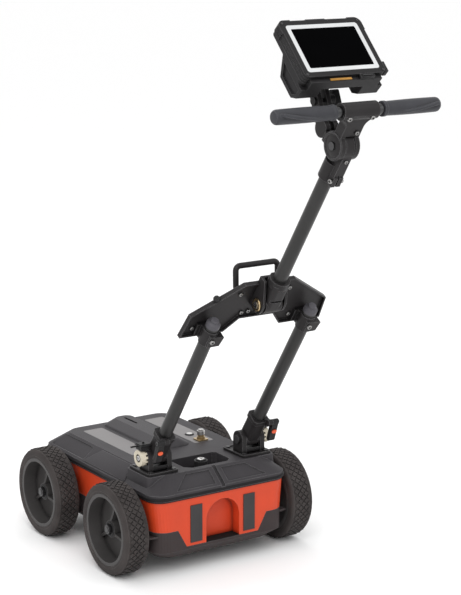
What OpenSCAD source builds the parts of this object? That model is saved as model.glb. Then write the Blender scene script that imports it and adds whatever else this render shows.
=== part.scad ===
// Ground radar survey cart: a four wheeled antenna housing with a folding
// handle frame, a mast with a tilting handlebar and a tablet on a ball arm.
// Frame: +X right, +Y forward, +Z up, origin on the floor at the middle of the box.

/* [Wheels] */
// Outer diameter of the tyres
wheel_d = 203.2; // [190:0.2:216]
// Width of the tyres
wheel_w = 56.6; // [50:0.2:60]
// Gap between the tyres and the cover's lip
wheel_gap = 10.2; // [6:0.2:20]
// Distance between the front and rear axles
wheelbase = 303.5; // [290:0.5:320]
// Diameter of the seat that carries the tyre
rim_d = 158; // [150:1:164]
// Thickness of the rim's barrel
rim_t = 7; // [4:0.5:10]
// Radius of the tyre's shoulders
shoulder_r = 10; // [4:0.5:14]
// Thickness of the wheel's web
web_t = 6; // [4:0.5:10]
// How far the web lies inboard of the middle plane
web_in = 10; // [0:1:14]
// Diameter of the wheel's hub
hub_d = 38; // [32:1:44]
// How far the hub's end lies inside the tyre's outer face
hub_in = 15; // [12:1:18]
// Number of ribs on the web
rib_count = 3; // [3:1:6]
// Thickness of a rib
rib_t = 6; // [4:0.5:10]
// Radius of the ring groove in a tyre's sidewall
ring_r = 1.5; // [1:0.5:2]
// Distance from the rim out to the ring groove
ring_out = 6; // [4:0.5:8]
// Number of grooves of each hand round a tyre
tread_count = 30; // [16:1:36]
// Width of a tread groove
tread_w = 3; // [2:0.5:4]
// Depth of a tread groove
tread_depth = 3; // [1:0.5:4]
// Angle between a tread groove and the axle
tread_angle = 50; // [40:1:54]
// Diameter of the axle studs
axle_d = 12; // [10:0.5:14]
// Outer diameter of the sleeves that the hubs turn on
sleeve_d = 18; // [17:0.5:22]
// Width across the corners of the axle nuts
nut_d = 22; // [20:0.5:26]
// Height of the axle nuts
nut_h = 8; // [6:0.5:10]

/* [Housing] */
// Width of the housing at the cover's seam
body_w = 346; // [336:1:350]
// Length of the housing
body_l = 496; // [480:1:520]
// Radius of the housing's upright corners
body_r = 34; // [26:1:42]
// Wall of the housing, the tray and the cover
wall = 6; // [5:0.5:7]
// Height of the cover's seam above the axles
seam_h = 71.6; // [64:0.2:80]
// Height of the tray's edge above the axles
split_h = 1.8; // [-2:0.2:6]
// Inward lean of the housing's sides from the seam to the tray's edge
draft = 6; // [3:0.5:8]
// Depth of the rear apron below the tray's edge
apron_drop = 40; // [30:1:42]
// Width of the apron's lower edge
apron_w = 186; // [170:1:200]
// Spread of the apron's sides from its lower edge to its top
apron_flare = 22; // [14:1:30]
// Width of the arched channel in the rear face
arch_w = 86; // [70:1:94]
// Distance from the seam down to the crown of the arch
arch_drop = 18; // [14:1:26]
// Depth of the arched channel
arch_depth = 28; // [20:1:34]
// Diameter of the bosses that carry the axle studs
boss_d = 46; // [38:1:52]
// Depth of the tray below its edge
tray_h = 67; // [62:1:72]
// Height of the tray's turned up edge
turn_h = 20; // [14:1:22]
// Run of the tray's turned up edge
turn_l = 24; // [16:1:30]

/* [Cover] */
// Height of the cover's upright lip
lip_h = 14; // [10:1:18]
// Overhang of the lip past the housing
lip_over = 3; // [1.5:0.5:4]
// Height of the deck above the seam
deck_h = 46; // [42:1:52]
// Run of the cover's slope at the sides
side_run = 38; // [32:1:42]
// Run of the cover's slope at the front and rear
end_run = 40; // [34:1:46]
// Depth of the panels let into the slopes
relief = 2; // [1:0.5:3]
// Width of the slot down the rear slope
slot_w = 9; // [6:0.5:12]
// Width of the accessory bay
bay_w = 120; // [108:1:124]
// Length of the accessory bay
bay_l = 74; // [66:1:80]
// Depth of the accessory bay
bay_depth = 30; // [24:1:32]
// Distance from the bay's middle to the deck's rear edge
bay_set = 51; // [48:1:56]
// Cut off the bay's rear corners
bay_cut = 14; // [10:1:18]
// Diameter of the accessory post
acc_d = 30; // [26:1:34]
// Core diameter of the accessory post's thread
acc_bore = 8.5; // [6.8:0.1:10.2]
// Depth of the accessory post's thread
acc_thread = 22; // [16:1:26]
// Length of the deck panels
panel_l = 224; // [200:1:230]
// Thickness of the deck panels
panel_t = 2; // [1.5:0.5:3]
// Distance from the deck's side edges in to the deck panels
panel_edge = 30; // [27:1:33]
// Gap between the deck panels and the spine cover's foot
spine_gap = 12; // [8:1:15]
// Distance from a deck panel's middle to the middle of the body
panel_y = 66; // [60:1:70]
// Run of the spine cover's side slopes
spine_run = 24; // [19:1:28]
// Height of the spine cover above the deck
spine_h = 17; // [12:1:22]
// Distance from the middle of the body to the spine cover's front end
spine_front = 200; // [190:1:204]
// Length of the spine cover
spine_l = 250; // [236:1:256]
// Distance from a deck panel's middle back to the power button
button_back = 48; // [40:1:60]
// Distance from a deck panel's middle back to the data connector
conn_back = 97; // [90:1:104]
// Diameter of the power button
button_d = 14; // [12:0.5:18]
// Travel of the power button
button_travel = 1.5; // [1:0.1:2]
// Diameter of the data connector's barrel
conn_d = 15; // [12:0.5:18]
// Height of the data connector's barrel
conn_h = 13; // [10:0.5:16]

/* [Inside] */
// Width of the antenna boards
board_w = 210; // [180:1:230]
// Length of the antenna boards
board_l = 140; // [120:1:150]
// Thickness of the boards and of the cans over them
board_t = 2; // [1.5:0.5:3]
// Distance from the middle of the body to the middles of the antenna boards
board_y = 92; // [80:1:104]
// Distance from the cover's seam down to the control board
board_drop = 34; // [28:1:40]
// Width of the control board
control_w = 240; // [200:1:270]
// Length of the control board
control_l = 300; // [260:1:340]
// Width of the battery
pack_w = 150; // [120:1:170]
// Length of the battery
pack_l = 190; // [160:1:210]

/* [Handle frame] */
// Rearward lean of the handle
lean = 34.2; // [30:0.1:38]
// Distance from the cover's edges in to the posts
post_edge = 54.3; // [52:0.1:58]
// Outer diameter of the posts and the mast
tube_d = 28.6; // [27:0.1:29.4]
// Wall of the posts and the mast
tube_wall = 2; // [1.5:0.1:3]
// Distance from the fold axis to the posts' upper ends
post_l = 406; // [400:1:412]
// Height of the fold axis above the deck
fold_h = 35; // [33:0.5:40]
// Distance from the fold axis to the deck's rear edge
fold_set = 42; // [40:1:48]
// Width of the post sockets
socket_w = 36; // [34:0.5:38]
// How far the knuckles stand proud of the post sockets
knuckle_proud = 1; // [0.5:0.5:2]
// Length of the post sockets above the fold axis
socket_l = 70; // [66:1:80]
// Depth to which a post enters its socket
post_in = 44; // [36:1:46]
// Diameter of the fold pins
pin_d = 10; // [8:0.5:12]
// Thickness of the feet's ears
ear_t = 11; // [8:0.5:12]
// Length of the feet's plates
foot_l = 84; // [80:1:88]
// Distance from the fold axis forward to the middle of the feet's plates
foot_ahead = 8; // [6:0.5:10]
// Width of the feet's plates
foot_w = 76; // [74:1:80]
// Thickness of the feet's plates
foot_t = 6; // [5:0.5:8]
// Width of the raised rim round the feet's plates
foot_rim = 4; // [3:0.5:5]
// Height of the raised rim round the feet's plates
rim_h = 2.5; // [1:0.5:3]
// Distance from a foot's edges to its screws
hole_in = 9; // [8:0.5:11]
// Diameter of the screws through the feet
foot_screw_d = 6; // [4:0.5:7]
// Depth of the foot screws in the cover
foot_screw_l = 14; // [10:1:18]
// Diameter of the toothed lock wheels
lock_d = 36; // [32:1:40]
// Thickness of a lock wheel's disc
lock_t = 10; // [8:0.5:12]
// Number of teeth on a lock wheel
lock_teeth = 12; // [8:1:14]
// Height of a lock wheel's teeth
tooth_h = 4.5; // [3:0.5:6]
// Height of the lock blocks above the lock wheels
block_h = 13; // [10:0.5:14]
// Length of the lock blocks
block_l = 22; // [18:1:26]
// Length of the pull rods on the lock blocks
pull_l = 18; // [10:1:22]
// Distance from the sockets' backs to the levers' pins
lever_set = 8; // [7:0.5:12]
// Height of the levers' pins above the sockets
lever_up = 4; // [2:0.5:8]
// Diameter of the levers' pins
lever_pin_d = 6; // [4:0.5:7]
// Angle between a lever and its post
lever_splay = 14; // [12:1:20]
// Length of the lock levers
lever_l = 44; // [38:1:46]
// Width of the lock levers
lever_w = 15; // [12:0.5:18]
// Thickness of the lock levers
lever_t = 11; // [9:0.5:12]

/* [Yoke] */
// Thickness of the yoke's plate
plate_t = 3; // [2:0.5:4]
// Depth of the yoke's flange
flange = 10; // [8:0.5:14]
// Distance from the posts' axes to the yoke's web
web_set = 25; // [24:0.5:28]
// Distance from the posts out to the yoke's lower corners
yoke_side = 54.3; // [48:0.1:60]
// Distance from the posts out to the yoke's shoulders
shoulder_side = 47.3; // [44:0.1:54]
// Width across the yoke's top
yoke_top_w = 124; // [116:1:140]
// Distance from the posts in to the notch in the yoke's lower edge
notch_side = 51.7; // [48:0.1:56]
// Run of the notch's slanted sides
notch_run = 28; // [24:1:33]
// Height of the notch
notch_h = 34; // [28:1:40]
// Distance along the posts from the fold axis to the yoke's lower edge
yoke_low = 356; // [350:1:362]
// Height of the yoke's shoulders above its lower edge
yoke_mid_h = 60; // [56:1:66]
// Height of the yoke's top above its lower edge
yoke_top_h = 132; // [126:1:140]
// Length of the post clamps
clamp_l = 46; // [40:1:48]
// Distance from the yoke's lower edge down to the clamps' lower ends
clamp_drop = 14; // [8:1:18]
// Wall of the post clamps behind the posts
clamp_wall = 6; // [5:0.5:8]
// Width of the post clamps
clamp_w = 42; // [38:0.5:44]
// Diameter of the clamp bolts
bolt_d = 6; // [5:0.5:7]
// Distance from the yoke's lower corners in to the outer web bolts
bolt_in = 26; // [22:1:30]
// Distance of the lower web bolts from the yoke's lower edge and its notch
bolt_up = 20; // [16:1:24]
// Diameter of the grab handle's rod
grab_d = 11; // [9:0.5:12]
// Width of the grab handle between its rods' middles
grab_w = 108; // [100:1:112]
// Reach of the grab handle in front of the yoke
grab_reach = 40; // [36:1:50]
// Rise of the grab handle above its feet
grab_rise = 37; // [34:1:60]
// Radius of the grab handle's bends
grab_bend = 12; // [10:1:16]
// Distance along the posts from the yoke's top down to the grab handle's feet
grab_drop = 30; // [24:1:36]
// Diameter of the grab handle's foot pads
pad_d = 20; // [16:1:24]
// Thickness of the grab handle's foot pads
pad_t = 4; // [3:0.5:6]

/* [Mast] */
// Distance along the posts from the yoke's lower edge to the mast hinge
hinge_up = 90; // [86:1:96]
// Width of the mast socket
mast_w = 40; // [38:0.5:44]
// Length of the mast socket above its hinge
mast_socket_l = 70; // [62:1:80]
// Depth to which the mast enters its socket
mast_in = 44; // [34:1:46]
// Thickness of the clevis base
clevis_base = 5; // [4:0.5:6]
// Thickness of the clevis plates
clevis_t = 5; // [4:0.5:6]
// Height of the clevis plates above the hinge
clevis_h = 58; // [50:1:60]
// Distance from the hinge down to the clevis's lower end
heel = 18; // [14:1:24]
// Depth of the clevis plates at their upper end
clevis_l = 18; // [14:1:22]
// Thickness of the toothed washers beside the socket
washer_t = 4; // [3:0.5:5]
// Diameter of the toothed washers
washer_d = 28; // [24:1:32]
// Distance from the mast hinge to the handlebar's tilt axis
mast_l = 426; // [400:1:460]
// Length of the cap's sleeve on the mast
cap_l = 42; // [36:1:50]
// Thickness of the cap's closed end
cap_end = 6; // [4:0.5:10]
// Height of the neck between the cap's sleeve and the tilt joint's discs
neck_h = 9; // [6:0.5:12]
// Wall of the cap's sleeve
cap_wall = 5; // [4:0.5:6]
// Diameter of the tilt joint's discs
disc_d = 58; // [52:1:60]
// Width of the tilt joint's middle knuckle
knuckle_w = 22; // [18:1:26]
// Thickness of the tilt joint's outer discs
disc_t = 10; // [8:0.5:14]
// Diameter of the tilt pin
tilt_d = 8; // [6:0.5:10]

/* [Handlebar] */
// Distance from the tilt axis to the handlebar
bar_up = 85; // [80:1:94]
// Overall width of the handlebar with its grips
bar_w = 386; // [376:1:420]
// Diameter of the handlebar
bar_d = 22.2; // [21:0.1:24]
// Wall of the handlebar
bar_wall = 2; // [1.5:0.1:3]
// Length of the clamp on the handlebar
bar_clamp_l = 82; // [72:1:88]
// Outer diameter of the clamp on the handlebar
bar_clamp_d = 34; // [32:0.5:38]
// Half thickness of the bar clamp's stem
stem_t = 11; // [9:0.5:13]
// Half height of the seat that carries the base ball
seat_h = 10; // [8:0.5:12]
// Length of a grip
grip_l = 138; // [124:1:140]
// Diameter of a grip
grip_d = 29; // [28:0.5:31]
// Length of the taper at a grip's inner end
taper = 9; // [6:0.5:14]
// Radius of the dome on a grip's end
dome_r = 44; // [36:1:60]
// Thickness of a grip's closed end
end_wall = 4; // [3:0.5:6]
// Thickness of a grip's palm rest
edge_d = 13; // [10:0.5:16]
// Reach of a grip's palm rest behind its round body
palm = 7; // [4:0.5:10]

/* [Tablet] */
// Reach of the base ball in front of the tilt axis
ball_reach = 55; // [52:1:62]
// Height of the base ball above the tilt axis, along the mast
ball_up = -4; // [-6:1:2]
// Diameter of the balls
ball_d = 25.4; // [24:0.2:27]
// Diameter of the balls' necks
neck_d = 10; // [8:0.5:12]
// Length of the arm between the balls
arm_l = 110; // [100:1:124]
// Forward lean of the arm from upright
arm_lean = 22; // [14:1:28]
// Thickness of one half of the arm
arm_t = 10; // [9:0.5:12]
// Width of the arm's ends
arm_w = 36; // [33:0.5:38]
// Diameter of the arm's bolt
arm_bolt_d = 8; // [6:0.5:10]
// Length of the arm knob's wings
wing_l = 40; // [32:1:46]
// Backward tilt of the screen from upright
screen_tilt = 43.6; // [36:0.2:50]
// Width of the screen
screen_w = 150; // [140:1:160]
// Height of the screen
screen_h = 94; // [88:1:104]
// Width of the bezel round the screen
bezel_w = 9; // [7:0.5:12]
// Thickness of the bezel
bezel_t = 3; // [2:0.5:4]
// Width of the case outside the bezel
case_rim = 11; // [9:0.5:15]
// Thickness of the tablet's case
case_t = 20; // [16:0.5:22]
// How far the raised corners and the hump stand out of the case
bumper = 2; // [1:0.5:3]
// Radius of the case's corners
case_r = 12; // [8:1:16]
// Thickness of the cradle's back plate and lips
cradle_t = 9; // [7:0.5:11]
// Depth of the cradle's side blocks behind its back plate
block_depth = 36; // [30:1:40]
// Width of the cradle's side blocks
block_w = 46; // [40:1:50]
// Distance from the screen's face to the upper ball
ball_back = 78; // [74:1:86]

/* [Hidden] */
$fn = 64;

// Clearance of a turning fit, per side
run = 0.05;
// Gap between pieces that move past each other
gap = 0.4;
// Overrun of a cut past the face that it opens
over = 1;
// Thickness of the sheets that a loft is drawn between
sheet = 0.5;

// Heights of the body, up and down from the axles
axle_z = wheel_d / 2;
seam_z = axle_z + seam_h;
split_z = axle_z + split_h;
deck_z = seam_z + deck_h;
tray_z = split_z - tray_h;
apron_z = split_z - apron_drop;

// Plan of the body
low_w = body_w - 2 * draft;
cover_w = body_w + 2 * lip_over;
cover_l = body_l + 2 * lip_over;
deck_w = cover_w - 2 * side_run;
deck_l = cover_l - 2 * end_run;
deck_rear = -deck_l / 2;
slope_h = deck_h - lip_h;
end_slope = sqrt(slope_h * slope_h + end_run * end_run);
side_slope_l = sqrt(slope_h * slope_h + side_run * side_run);
bay_y = deck_rear + bay_set;
spine_mid = spine_front - spine_l / 2;
button_y = panel_y - button_back;
conn_y = panel_y - conn_back;
spine_w = deck_w / 3;
spine_top_w = spine_w - 2 * spine_run;
panel_w = (deck_w - spine_w) / 2 - spine_gap - panel_edge;
panel_x = (deck_w - panel_w) / 2 - panel_edge;
post_x = cover_w / 2 - post_edge;
track = cover_w + 2 * wheel_gap + wheel_w;

// Stack of boards inside the body
board_z = tray_z + wall + over;
shield_top = seam_z - board_drop;

// Wheels: the boss ends short of the tyre, the sleeve fills the way to the nut
boss_x = track / 2 - wheel_w / 2 - gap;
boss_in = low_w / 2 - wall;
hub_end = wheel_w / 2 - hub_in;
hub_start = -wheel_w / 2 + over;
web_top = web_t / 2 - web_in;
sleeve_end = track / 2 + hub_end + gap;

// Fold axis of the handle and the pieces round it
fold_y = deck_rear + fold_set;
fold_z = deck_z + fold_h;
post_bore = tube_d + 2 * run;
knuckle_r = socket_w / 2 + knuckle_proud;
ear_in = socket_w / 2 + gap;
ear_out = ear_in + ear_t;
lock_face = ear_out + gap;
lock_out = lock_face + tooth_h + lock_t;
block_z = lock_d / 2 + over;
foot_y = fold_y + foot_ahead;
lever_y = -socket_w / 2 - lever_set;
lever_z = socket_l + lever_up;
lever_in = socket_w / 2 + gap;

// Yoke, mast, tilt joint and handlebar, measured along the posts from the fold axis
hinge_z = yoke_low + hinge_up;
tilt_z = hinge_z + mast_l;
bar_z = tilt_z + bar_up;
yoke_front = web_set + plate_t;
grab_z = yoke_low + yoke_top_h - grab_drop;
notch_w = 2 * (post_x - notch_side);
notch_top_w = notch_w - 2 * notch_run;
yoke_bolts = [
  [grab_w / 2, yoke_top_h - grab_drop],
  [post_x + yoke_side - bolt_in, bolt_up],
  [notch_w / 2 + bolt_up, bolt_up]
];
clamp_z = yoke_low - clamp_drop;
clamp_rear = -tube_d / 2 - clamp_wall;
hinge_r = web_set - clevis_base - gap;
clevis_x = mast_w / 2 + gap + washer_t;
clevis_out = clevis_x + clevis_t;
cap_d = tube_d + 2 * cap_wall;
disc_r = disc_d / 2;
disc_in = knuckle_w / 2 + gap;
disc_out = disc_in + disc_t;
cap_top = tilt_z - disc_r - neck_h;
mast_start = hinge_z + mast_socket_l - mast_in;
mast_end = cap_top - cap_end;
grip_in = bar_w / 2 - grip_l;

// Tablet and its arm
arm_in = neck_d / 2 + gap;
arm_out = arm_in + arm_t;
socket_d = ball_d + 4 * run;
bezel_out_w = screen_w + 2 * bezel_w;
bezel_out_h = screen_h + 2 * bezel_w;
case_w = bezel_out_w + 2 * case_rim;
case_h = bezel_out_h + 2 * case_rim;

// Shift that puts the middle of the box over the origin: a palm rest ends where the dome cuts it
palm_r = palm + grip_d / 2;
palm_cut = dome_r - sqrt(dome_r * dome_r - palm_r * palm_r);
palm_end = palm * (1 - palm_cut / (grip_l - taper));
front_reach = max(cover_l, wheelbase + wheel_d) / 2;
rear_reach = bar_z * sin(lean) - fold_y + (palm_end + (grip_d - edge_d) / 2) * cos(lean) + edge_d / 2;
frame_y = (rear_reach - front_reach) / 2;

// Body frame: the floor under the middle of the wheelbase
module body_frame() {
  translate([0, frame_y, 0])
    children();
}

// Fold frame: the fold axis, upright
module fold_frame() {
  body_frame()
    translate([0, fold_y, fold_z])
      children();
}

// Handle frame: Z along the posts, Y forward and square to them
module handle_frame() {
  fold_frame()
    rotate([lean, 0, 0])
      children();
}

// Arm frame: Z along the arm, origin at the base ball
module arm_frame() {
  handle_frame()
    translate([0, ball_reach, tilt_z + ball_up])
      rotate([-lean - arm_lean, 0, 0])
        children();
}

// Tablet frame: X right, Y up the screen, Z out of it, origin on the screen's face
module tablet_frame() {
  arm_frame()
    translate([0, 0, arm_l])
      rotate([arm_lean + 90 - screen_tilt, 0, 0])
        translate([0, 0, ball_back])
          children();
}

// Puts its child on one side: 1 is right, -1 is left
module on_side(side) {
  mirror([side > 0 ? 0 : 1, 0, 0])
    children();
}

module both_sides() {
  for (side = [-1, 1])
    on_side(side)
      children();
}

// Rectangle with round corners, centred
module plan(w, l, r) {
  square([w - 2 * r, l], center = true);
  square([w, l - 2 * r], center = true);
  for (x = [-1, 1], y = [-1, 1])
    translate([x * (w / 2 - r), y * (l / 2 - r)])
      circle(r);
}

// Upright block with round corners and its base at z
module slab(w, l, r, z, h) {
  translate([0, 0, z])
    linear_extrude(h)
      plan(w, l, r);
}

// Thin slab that a loft is drawn over
module skin(w, l, r, z) {
  slab(w, l, r, z, sheet, $fn = 32);
}

// Cylinder along X, centred
module axle(d, l) {
  rotate([0, 90, 0])
    cylinder(d = d, h = l, center = true);
}

// Cylinder along X from x0 to x1
module shaft(d, x0, x1) {
  translate([(x0 + x1) / 2, 0, 0])
    axle(d, x1 - x0);
}

// Cylinder along Y from y0 to y1
module rod(d, y0, y1) {
  translate([0, y0, 0])
    rotate([-90, 0, 0])
      cylinder(d = d, h = y1 - y0);
}

// Plate in the YZ plane, from x0 to x1
module cheek(x0, x1) {
  translate([x0, 0, 0])
    rotate([90, 0, 90])
      linear_extrude(x1 - x0)
        children();
}

// Plate in the XZ plane, from y0 to y1
module face(y0, y1) {
  translate([0, y1, 0])
    rotate([90, 0, 0])
      linear_extrude(y1 - y0)
        children();
}

// Quarter bend of a rod in the XY plane, from +X round to +Y
module bend(d, r) {
  rotate_extrude(angle = 90)
    translate([r, 0])
      circle(d = d, $fn = 32);
}

// Tube along Z from z0 to z1
module tube(d, t, z0, z1) {
  translate([0, 0, z0])
    difference() {
      cylinder(d = d, h = z1 - z0);
      translate([0, 0, -over])
        cylinder(d = d - 2 * t, h = z1 - z0 + 2 * over);
    }
}

// Wheel frame: X outboard, origin at the wheel's middle
module wheel_frame(side, end) {
  body_frame()
    translate([side * track / 2, end * wheelbase / 2, axle_z])
      rotate([0, 0, side > 0 ? 0 : 180])
        children();
}

module each_wheel() {
  for (side = [-1, 1], end = [-1, 1])
    wheel_frame(side, end)
      children();
}

// Tyre with crossed grooves that leave diamond blocks, and a ring let into each sidewall
module tyre_solid() {
  w = wheel_w / 2;
  r = wheel_d / 2;
  s = shoulder_r;
  half = w / cos(tread_angle);
  swing = w / 2 * tan(tread_angle) / r * 180 / PI;
  color([0.17, 0.17, 0.18])
    difference() {
      rotate([0, 90, 0])
        rotate_extrude($fn = 96)
          difference() {
            union() {
              translate([rim_d / 2, -w])
                square([r - s - rim_d / 2, wheel_w]);
              translate([rim_d / 2, -w + s])
                square([r - rim_d / 2, wheel_w - 2 * s]);
              for (y = [-1, 1])
                translate([r - s, y * (w - s)])
                  circle(s);
            }
            for (y = [-1, 1])
              translate([rim_d / 2 + ring_out, y * w])
                circle(ring_r, $fn = 16);
          }
      for (i = [0 : tread_count - 1], hand = [-1, 1], end = [-1, 1])
        rotate([i * 360 / tread_count + hand * end * swing, 0, 0])
          translate([end * w / 2, 0, r - tread_depth])
            rotate([0, 0, -hand * tread_angle])
              translate([-half / 2, -tread_w / 2, 0])
                cube([half, tread_w, tread_depth + over]);
    }
}

// Dished wheel with a hub and three tapered ribs on its outer side
module rim_solid() {
  barrel = rim_d / 2 - rim_t;
  w = wheel_w / 2;
  rib_drop = 7;
  rib_foot = 6;
  color([0.3, 0.3, 0.31])
    difference() {
      union() {
        rotate([0, 90, 0])
          rotate_extrude($fn = 96) {
            translate([barrel, -w + over])
              square([rim_t - run, wheel_w - 2 * over]);
            translate([0, web_top - web_t])
              square([barrel + over, web_t]);
          }
        shaft(hub_d, hub_start, hub_end);
        for (i = [0 : rib_count - 1])
          rotate([i * 360 / rib_count, 0, 0])
            rotate([90, 0, 0])
              linear_extrude(rib_t, center = true)
                polygon([
                  [web_top - over, hub_d / 2 - over],
                  [hub_end - over, hub_d / 2 - over],
                  [hub_end - rib_drop, hub_d / 2 + 2 * rib_drop],
                  [web_top + rib_foot, barrel + over],
                  [web_top - over, barrel + over]
                ]);
      }
      shaft(sleeve_d + 2 * run, hub_start - over, hub_end + over);
    }
}

module tyre_fl() { wheel_frame(-1, 1) tyre_solid(); }
module tyre_fr() { wheel_frame(1, 1) tyre_solid(); }
module tyre_rl() { wheel_frame(-1, -1) tyre_solid(); }
module tyre_rr() { wheel_frame(1, -1) tyre_solid(); }
module rim_fl() { wheel_frame(-1, 1) rim_solid(); }
module rim_fr() { wheel_frame(1, 1) rim_solid(); }
module rim_rl() { wheel_frame(-1, -1) rim_solid(); }
module rim_rr() { wheel_frame(1, -1) rim_solid(); }

// Studs held in the housing's bosses by an inner flange
module axle_studs() {
  flange_t = 5;
  color([0.75, 0.75, 0.77])
    each_wheel() {
      shaft(axle_d, boss_in - flange_t - track / 2, sleeve_end + nut_h + over - track / 2);
      shaft(2 * axle_d, boss_in - flange_t - track / 2, boss_in - track / 2);
    }
}

module axle_sleeves() {
  color([0.8, 0.78, 0.7])
    each_wheel()
      difference() {
        shaft(sleeve_d, boss_x - track / 2, sleeve_end - track / 2);
        shaft(axle_d + 2 * run, boss_x - track / 2 - over, sleeve_end - track / 2 + over);
      }
}

// Outline of the rear apron, grown by a gap: X across and Y up from its lower edge
module apron_shape(grow) {
  low = apron_w / 2 + grow;
  top = low + apron_flare;
  polygon([[-low, -grow], [low, -grow], [top, apron_drop + grow], [-top, apron_drop + grow]]);
}

// Outline of the arched channel, grown by a wall
module arch_shape(grow) {
  r = arch_w / 2 + grow;
  spring = seam_z - arch_drop - apron_z - arch_w / 2;
  translate([-r, -over])
    square([2 * r, spring + over]);
  translate([0, spring])
    circle(r);
}

// Outline on the housing's rear face, taken forward by a depth
module on_rear(depth) {
  translate([0, 0, apron_z])
    face(-body_l / 2, -body_l / 2 + depth)
      children();
}

// Pan with turned up edges
module tray_form(inset) {
  w = low_w - 2 * inset;
  l = body_l - 2 * inset;
  r = body_r - inset;
  hull() {
    skin(w - 2 * turn_l, l - 2 * turn_l, r, tray_z + inset);
    slab(w, l, r, tray_z + turn_h, split_z - tray_z - turn_h, $fn = 32);
  }
}

module skid_tray() {
  ledge_h = apron_z - gap - tray_z - turn_h;
  color([0.13, 0.13, 0.14])
    body_frame()
      difference() {
        union() {
          difference() {
            tray_form(0);
            translate([0, 0, over])
              tray_form(wall);
          }
          translate([-arch_w / 2 - wall, -body_l / 2 + wall / 2, tray_z + turn_h])
            cube([arch_w + 2 * wall, arch_depth + wall, ledge_h]);
        }
        translate([0, -over, 0])
          on_rear(wall + gap + over)
            apron_shape(gap);
        translate([0, -over, -gap])
          on_rear(arch_depth + wall + gap + over)
            intersection() {
              arch_shape(wall + gap);
              translate([-body_w / 2, 0])
                square([body_w, body_l]);
            }
        for (end = [-1, 1])
          translate([0, end * wheelbase / 2, axle_z])
            axle(boss_d + 2 * gap, track);
      }
}

module antenna_housing() {
  color([0.84, 0.3, 0.16])
    body_frame()
      difference() {
        union() {
          difference() {
            hull() {
              skin(low_w, body_l, body_r, split_z);
              skin(body_w, body_l, body_r, seam_z - sheet);
            }
            slab(low_w - 2 * wall, body_l - 2 * wall, body_r - wall, split_z - over, seam_h + 2 * over);
          }
          on_rear(wall)
            apron_shape(0);
          intersection() {
            on_rear(arch_depth + wall)
              arch_shape(wall);
            slab(low_w, body_l, body_r, apron_z, seam_z - apron_z);
          }
          both_sides()
            for (end = [-1, 1])
              translate([0, end * wheelbase / 2, axle_z])
                shaft(boss_d, boss_in, boss_x);
        }
        translate([0, -over, 0])
          on_rear(arch_depth + over)
            arch_shape(0);
        for (end = [-1, 1])
          translate([0, end * wheelbase / 2, axle_z])
            axle(axle_d + 2 * run, track);
      }
}

// Rear slope of the cover: X across, Y up the slope, Z out of it
module rear_slope() {
  translate([0, -cover_l / 2, seam_z + lip_h])
    rotate([atan2(slope_h, end_run), 0, 0])
      children();
}

// Side slope of the cover: X forward on the right side, Y up the slope, Z out of it
module side_slope() {
  rotate([0, 0, 90])
    translate([0, -cover_w / 2, seam_z + lip_h])
      rotate([atan2(slope_h, side_run), 0, 0])
        children();
}

// Raised seat under a foot, spreading down to the slope
module foot_seat() {
  rim = 4;
  translate([post_x, foot_y, 0])
    hull() {
      skin(foot_w + 2 * rim, foot_l + 2 * rim, 2 * rim, deck_z - sheet);
      skin(foot_w + 4 * rim, foot_l + 4 * rim, 3 * rim, seam_z + lip_h);
    }
}

module bay_shape() {
  w = bay_w / 2;
  l = bay_l / 2;
  c = bay_cut;
  polygon([
    [-w + c, -l], [w - c, -l], [w, -l + c], [w, l - c / 2],
    [w - c / 2, l], [-w + c / 2, l], [-w, l - c / 2], [-w, -l + c]
  ]);
}

// Screw holes of a foot, in the foot's own frame
module foot_holes(d, z, h) {
  for (x = [-1, 1], y = [-1, 1])
    translate([x * (foot_w / 2 - hole_in), y * (foot_l / 2 - hole_in), z])
      cylinder(d = d, h = h, $fn = 24);
}

module cover_shell() {
  difference() {
    union() {
      hull() {
        slab(cover_w, cover_l, body_r + lip_over, seam_z, lip_h, $fn = 32);
        skin(deck_w, deck_l, body_r, deck_z - sheet);
      }
      both_sides()
        foot_seat();
    }
    hull() {
      slab(low_w - 2 * wall, body_l - 2 * wall, body_r - wall, seam_z - over, lip_h, $fn = 32);
      skin(deck_w - 2 * wall, deck_l - 2 * wall, body_r - wall, deck_z - 2 * wall);
    }
  }
}

module top_cover() {
  slope_edge = 7;
  side_panel_l = 150;
  color([0.2, 0.2, 0.21])
    body_frame()
      difference() {
        union() {
          cover_shell();
          translate([0, bay_y, 0])
            slab(bay_w + 2 * wall, bay_l + 2 * wall, wall, deck_z - bay_depth - wall, bay_depth);
        }
        translate([0, bay_y, deck_z - bay_depth])
          linear_extrude(bay_depth + over)
            bay_shape();
        both_sides()
          translate([panel_x, panel_y, 0])
            slab(panel_w + 2 * gap, panel_l + 2 * gap, wall, deck_z - panel_t, panel_t + over);
        rear_slope()
          translate([-slot_w / 2, -lip_h, -wall + relief])
            cube([slot_w, end_slope + 2 * lip_h, 2 * wall]);
        both_sides()
          rear_slope()
            translate([0, 0, -relief])
              linear_extrude(3 * relief)
                polygon([
                  [slot_w + slope_edge, slope_edge],
                  [post_x - slope_edge, slope_edge],
                  [post_x - foot_w / 2 - slope_edge, end_slope - slope_edge],
                  [slot_w + slope_edge, end_slope - slope_edge]
                ]);
        both_sides()
          side_slope()
            translate([body_l / 2 - body_r - side_panel_l / 2, side_slope_l / 2, -relief])
              linear_extrude(3 * relief)
                plan(side_panel_l, side_slope_l - 2 * slope_edge, wall);
        translate([panel_x, button_y, deck_z - panel_t - 3 * button_travel])
          cylinder(d = button_d + 2 * gap, h = 4 * button_travel + panel_t);
        both_sides()
          translate([post_x, foot_y, deck_z - foot_screw_l])
            foot_holes(foot_screw_d + 2 * run, 0, foot_screw_l + over);
      }
}

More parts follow.
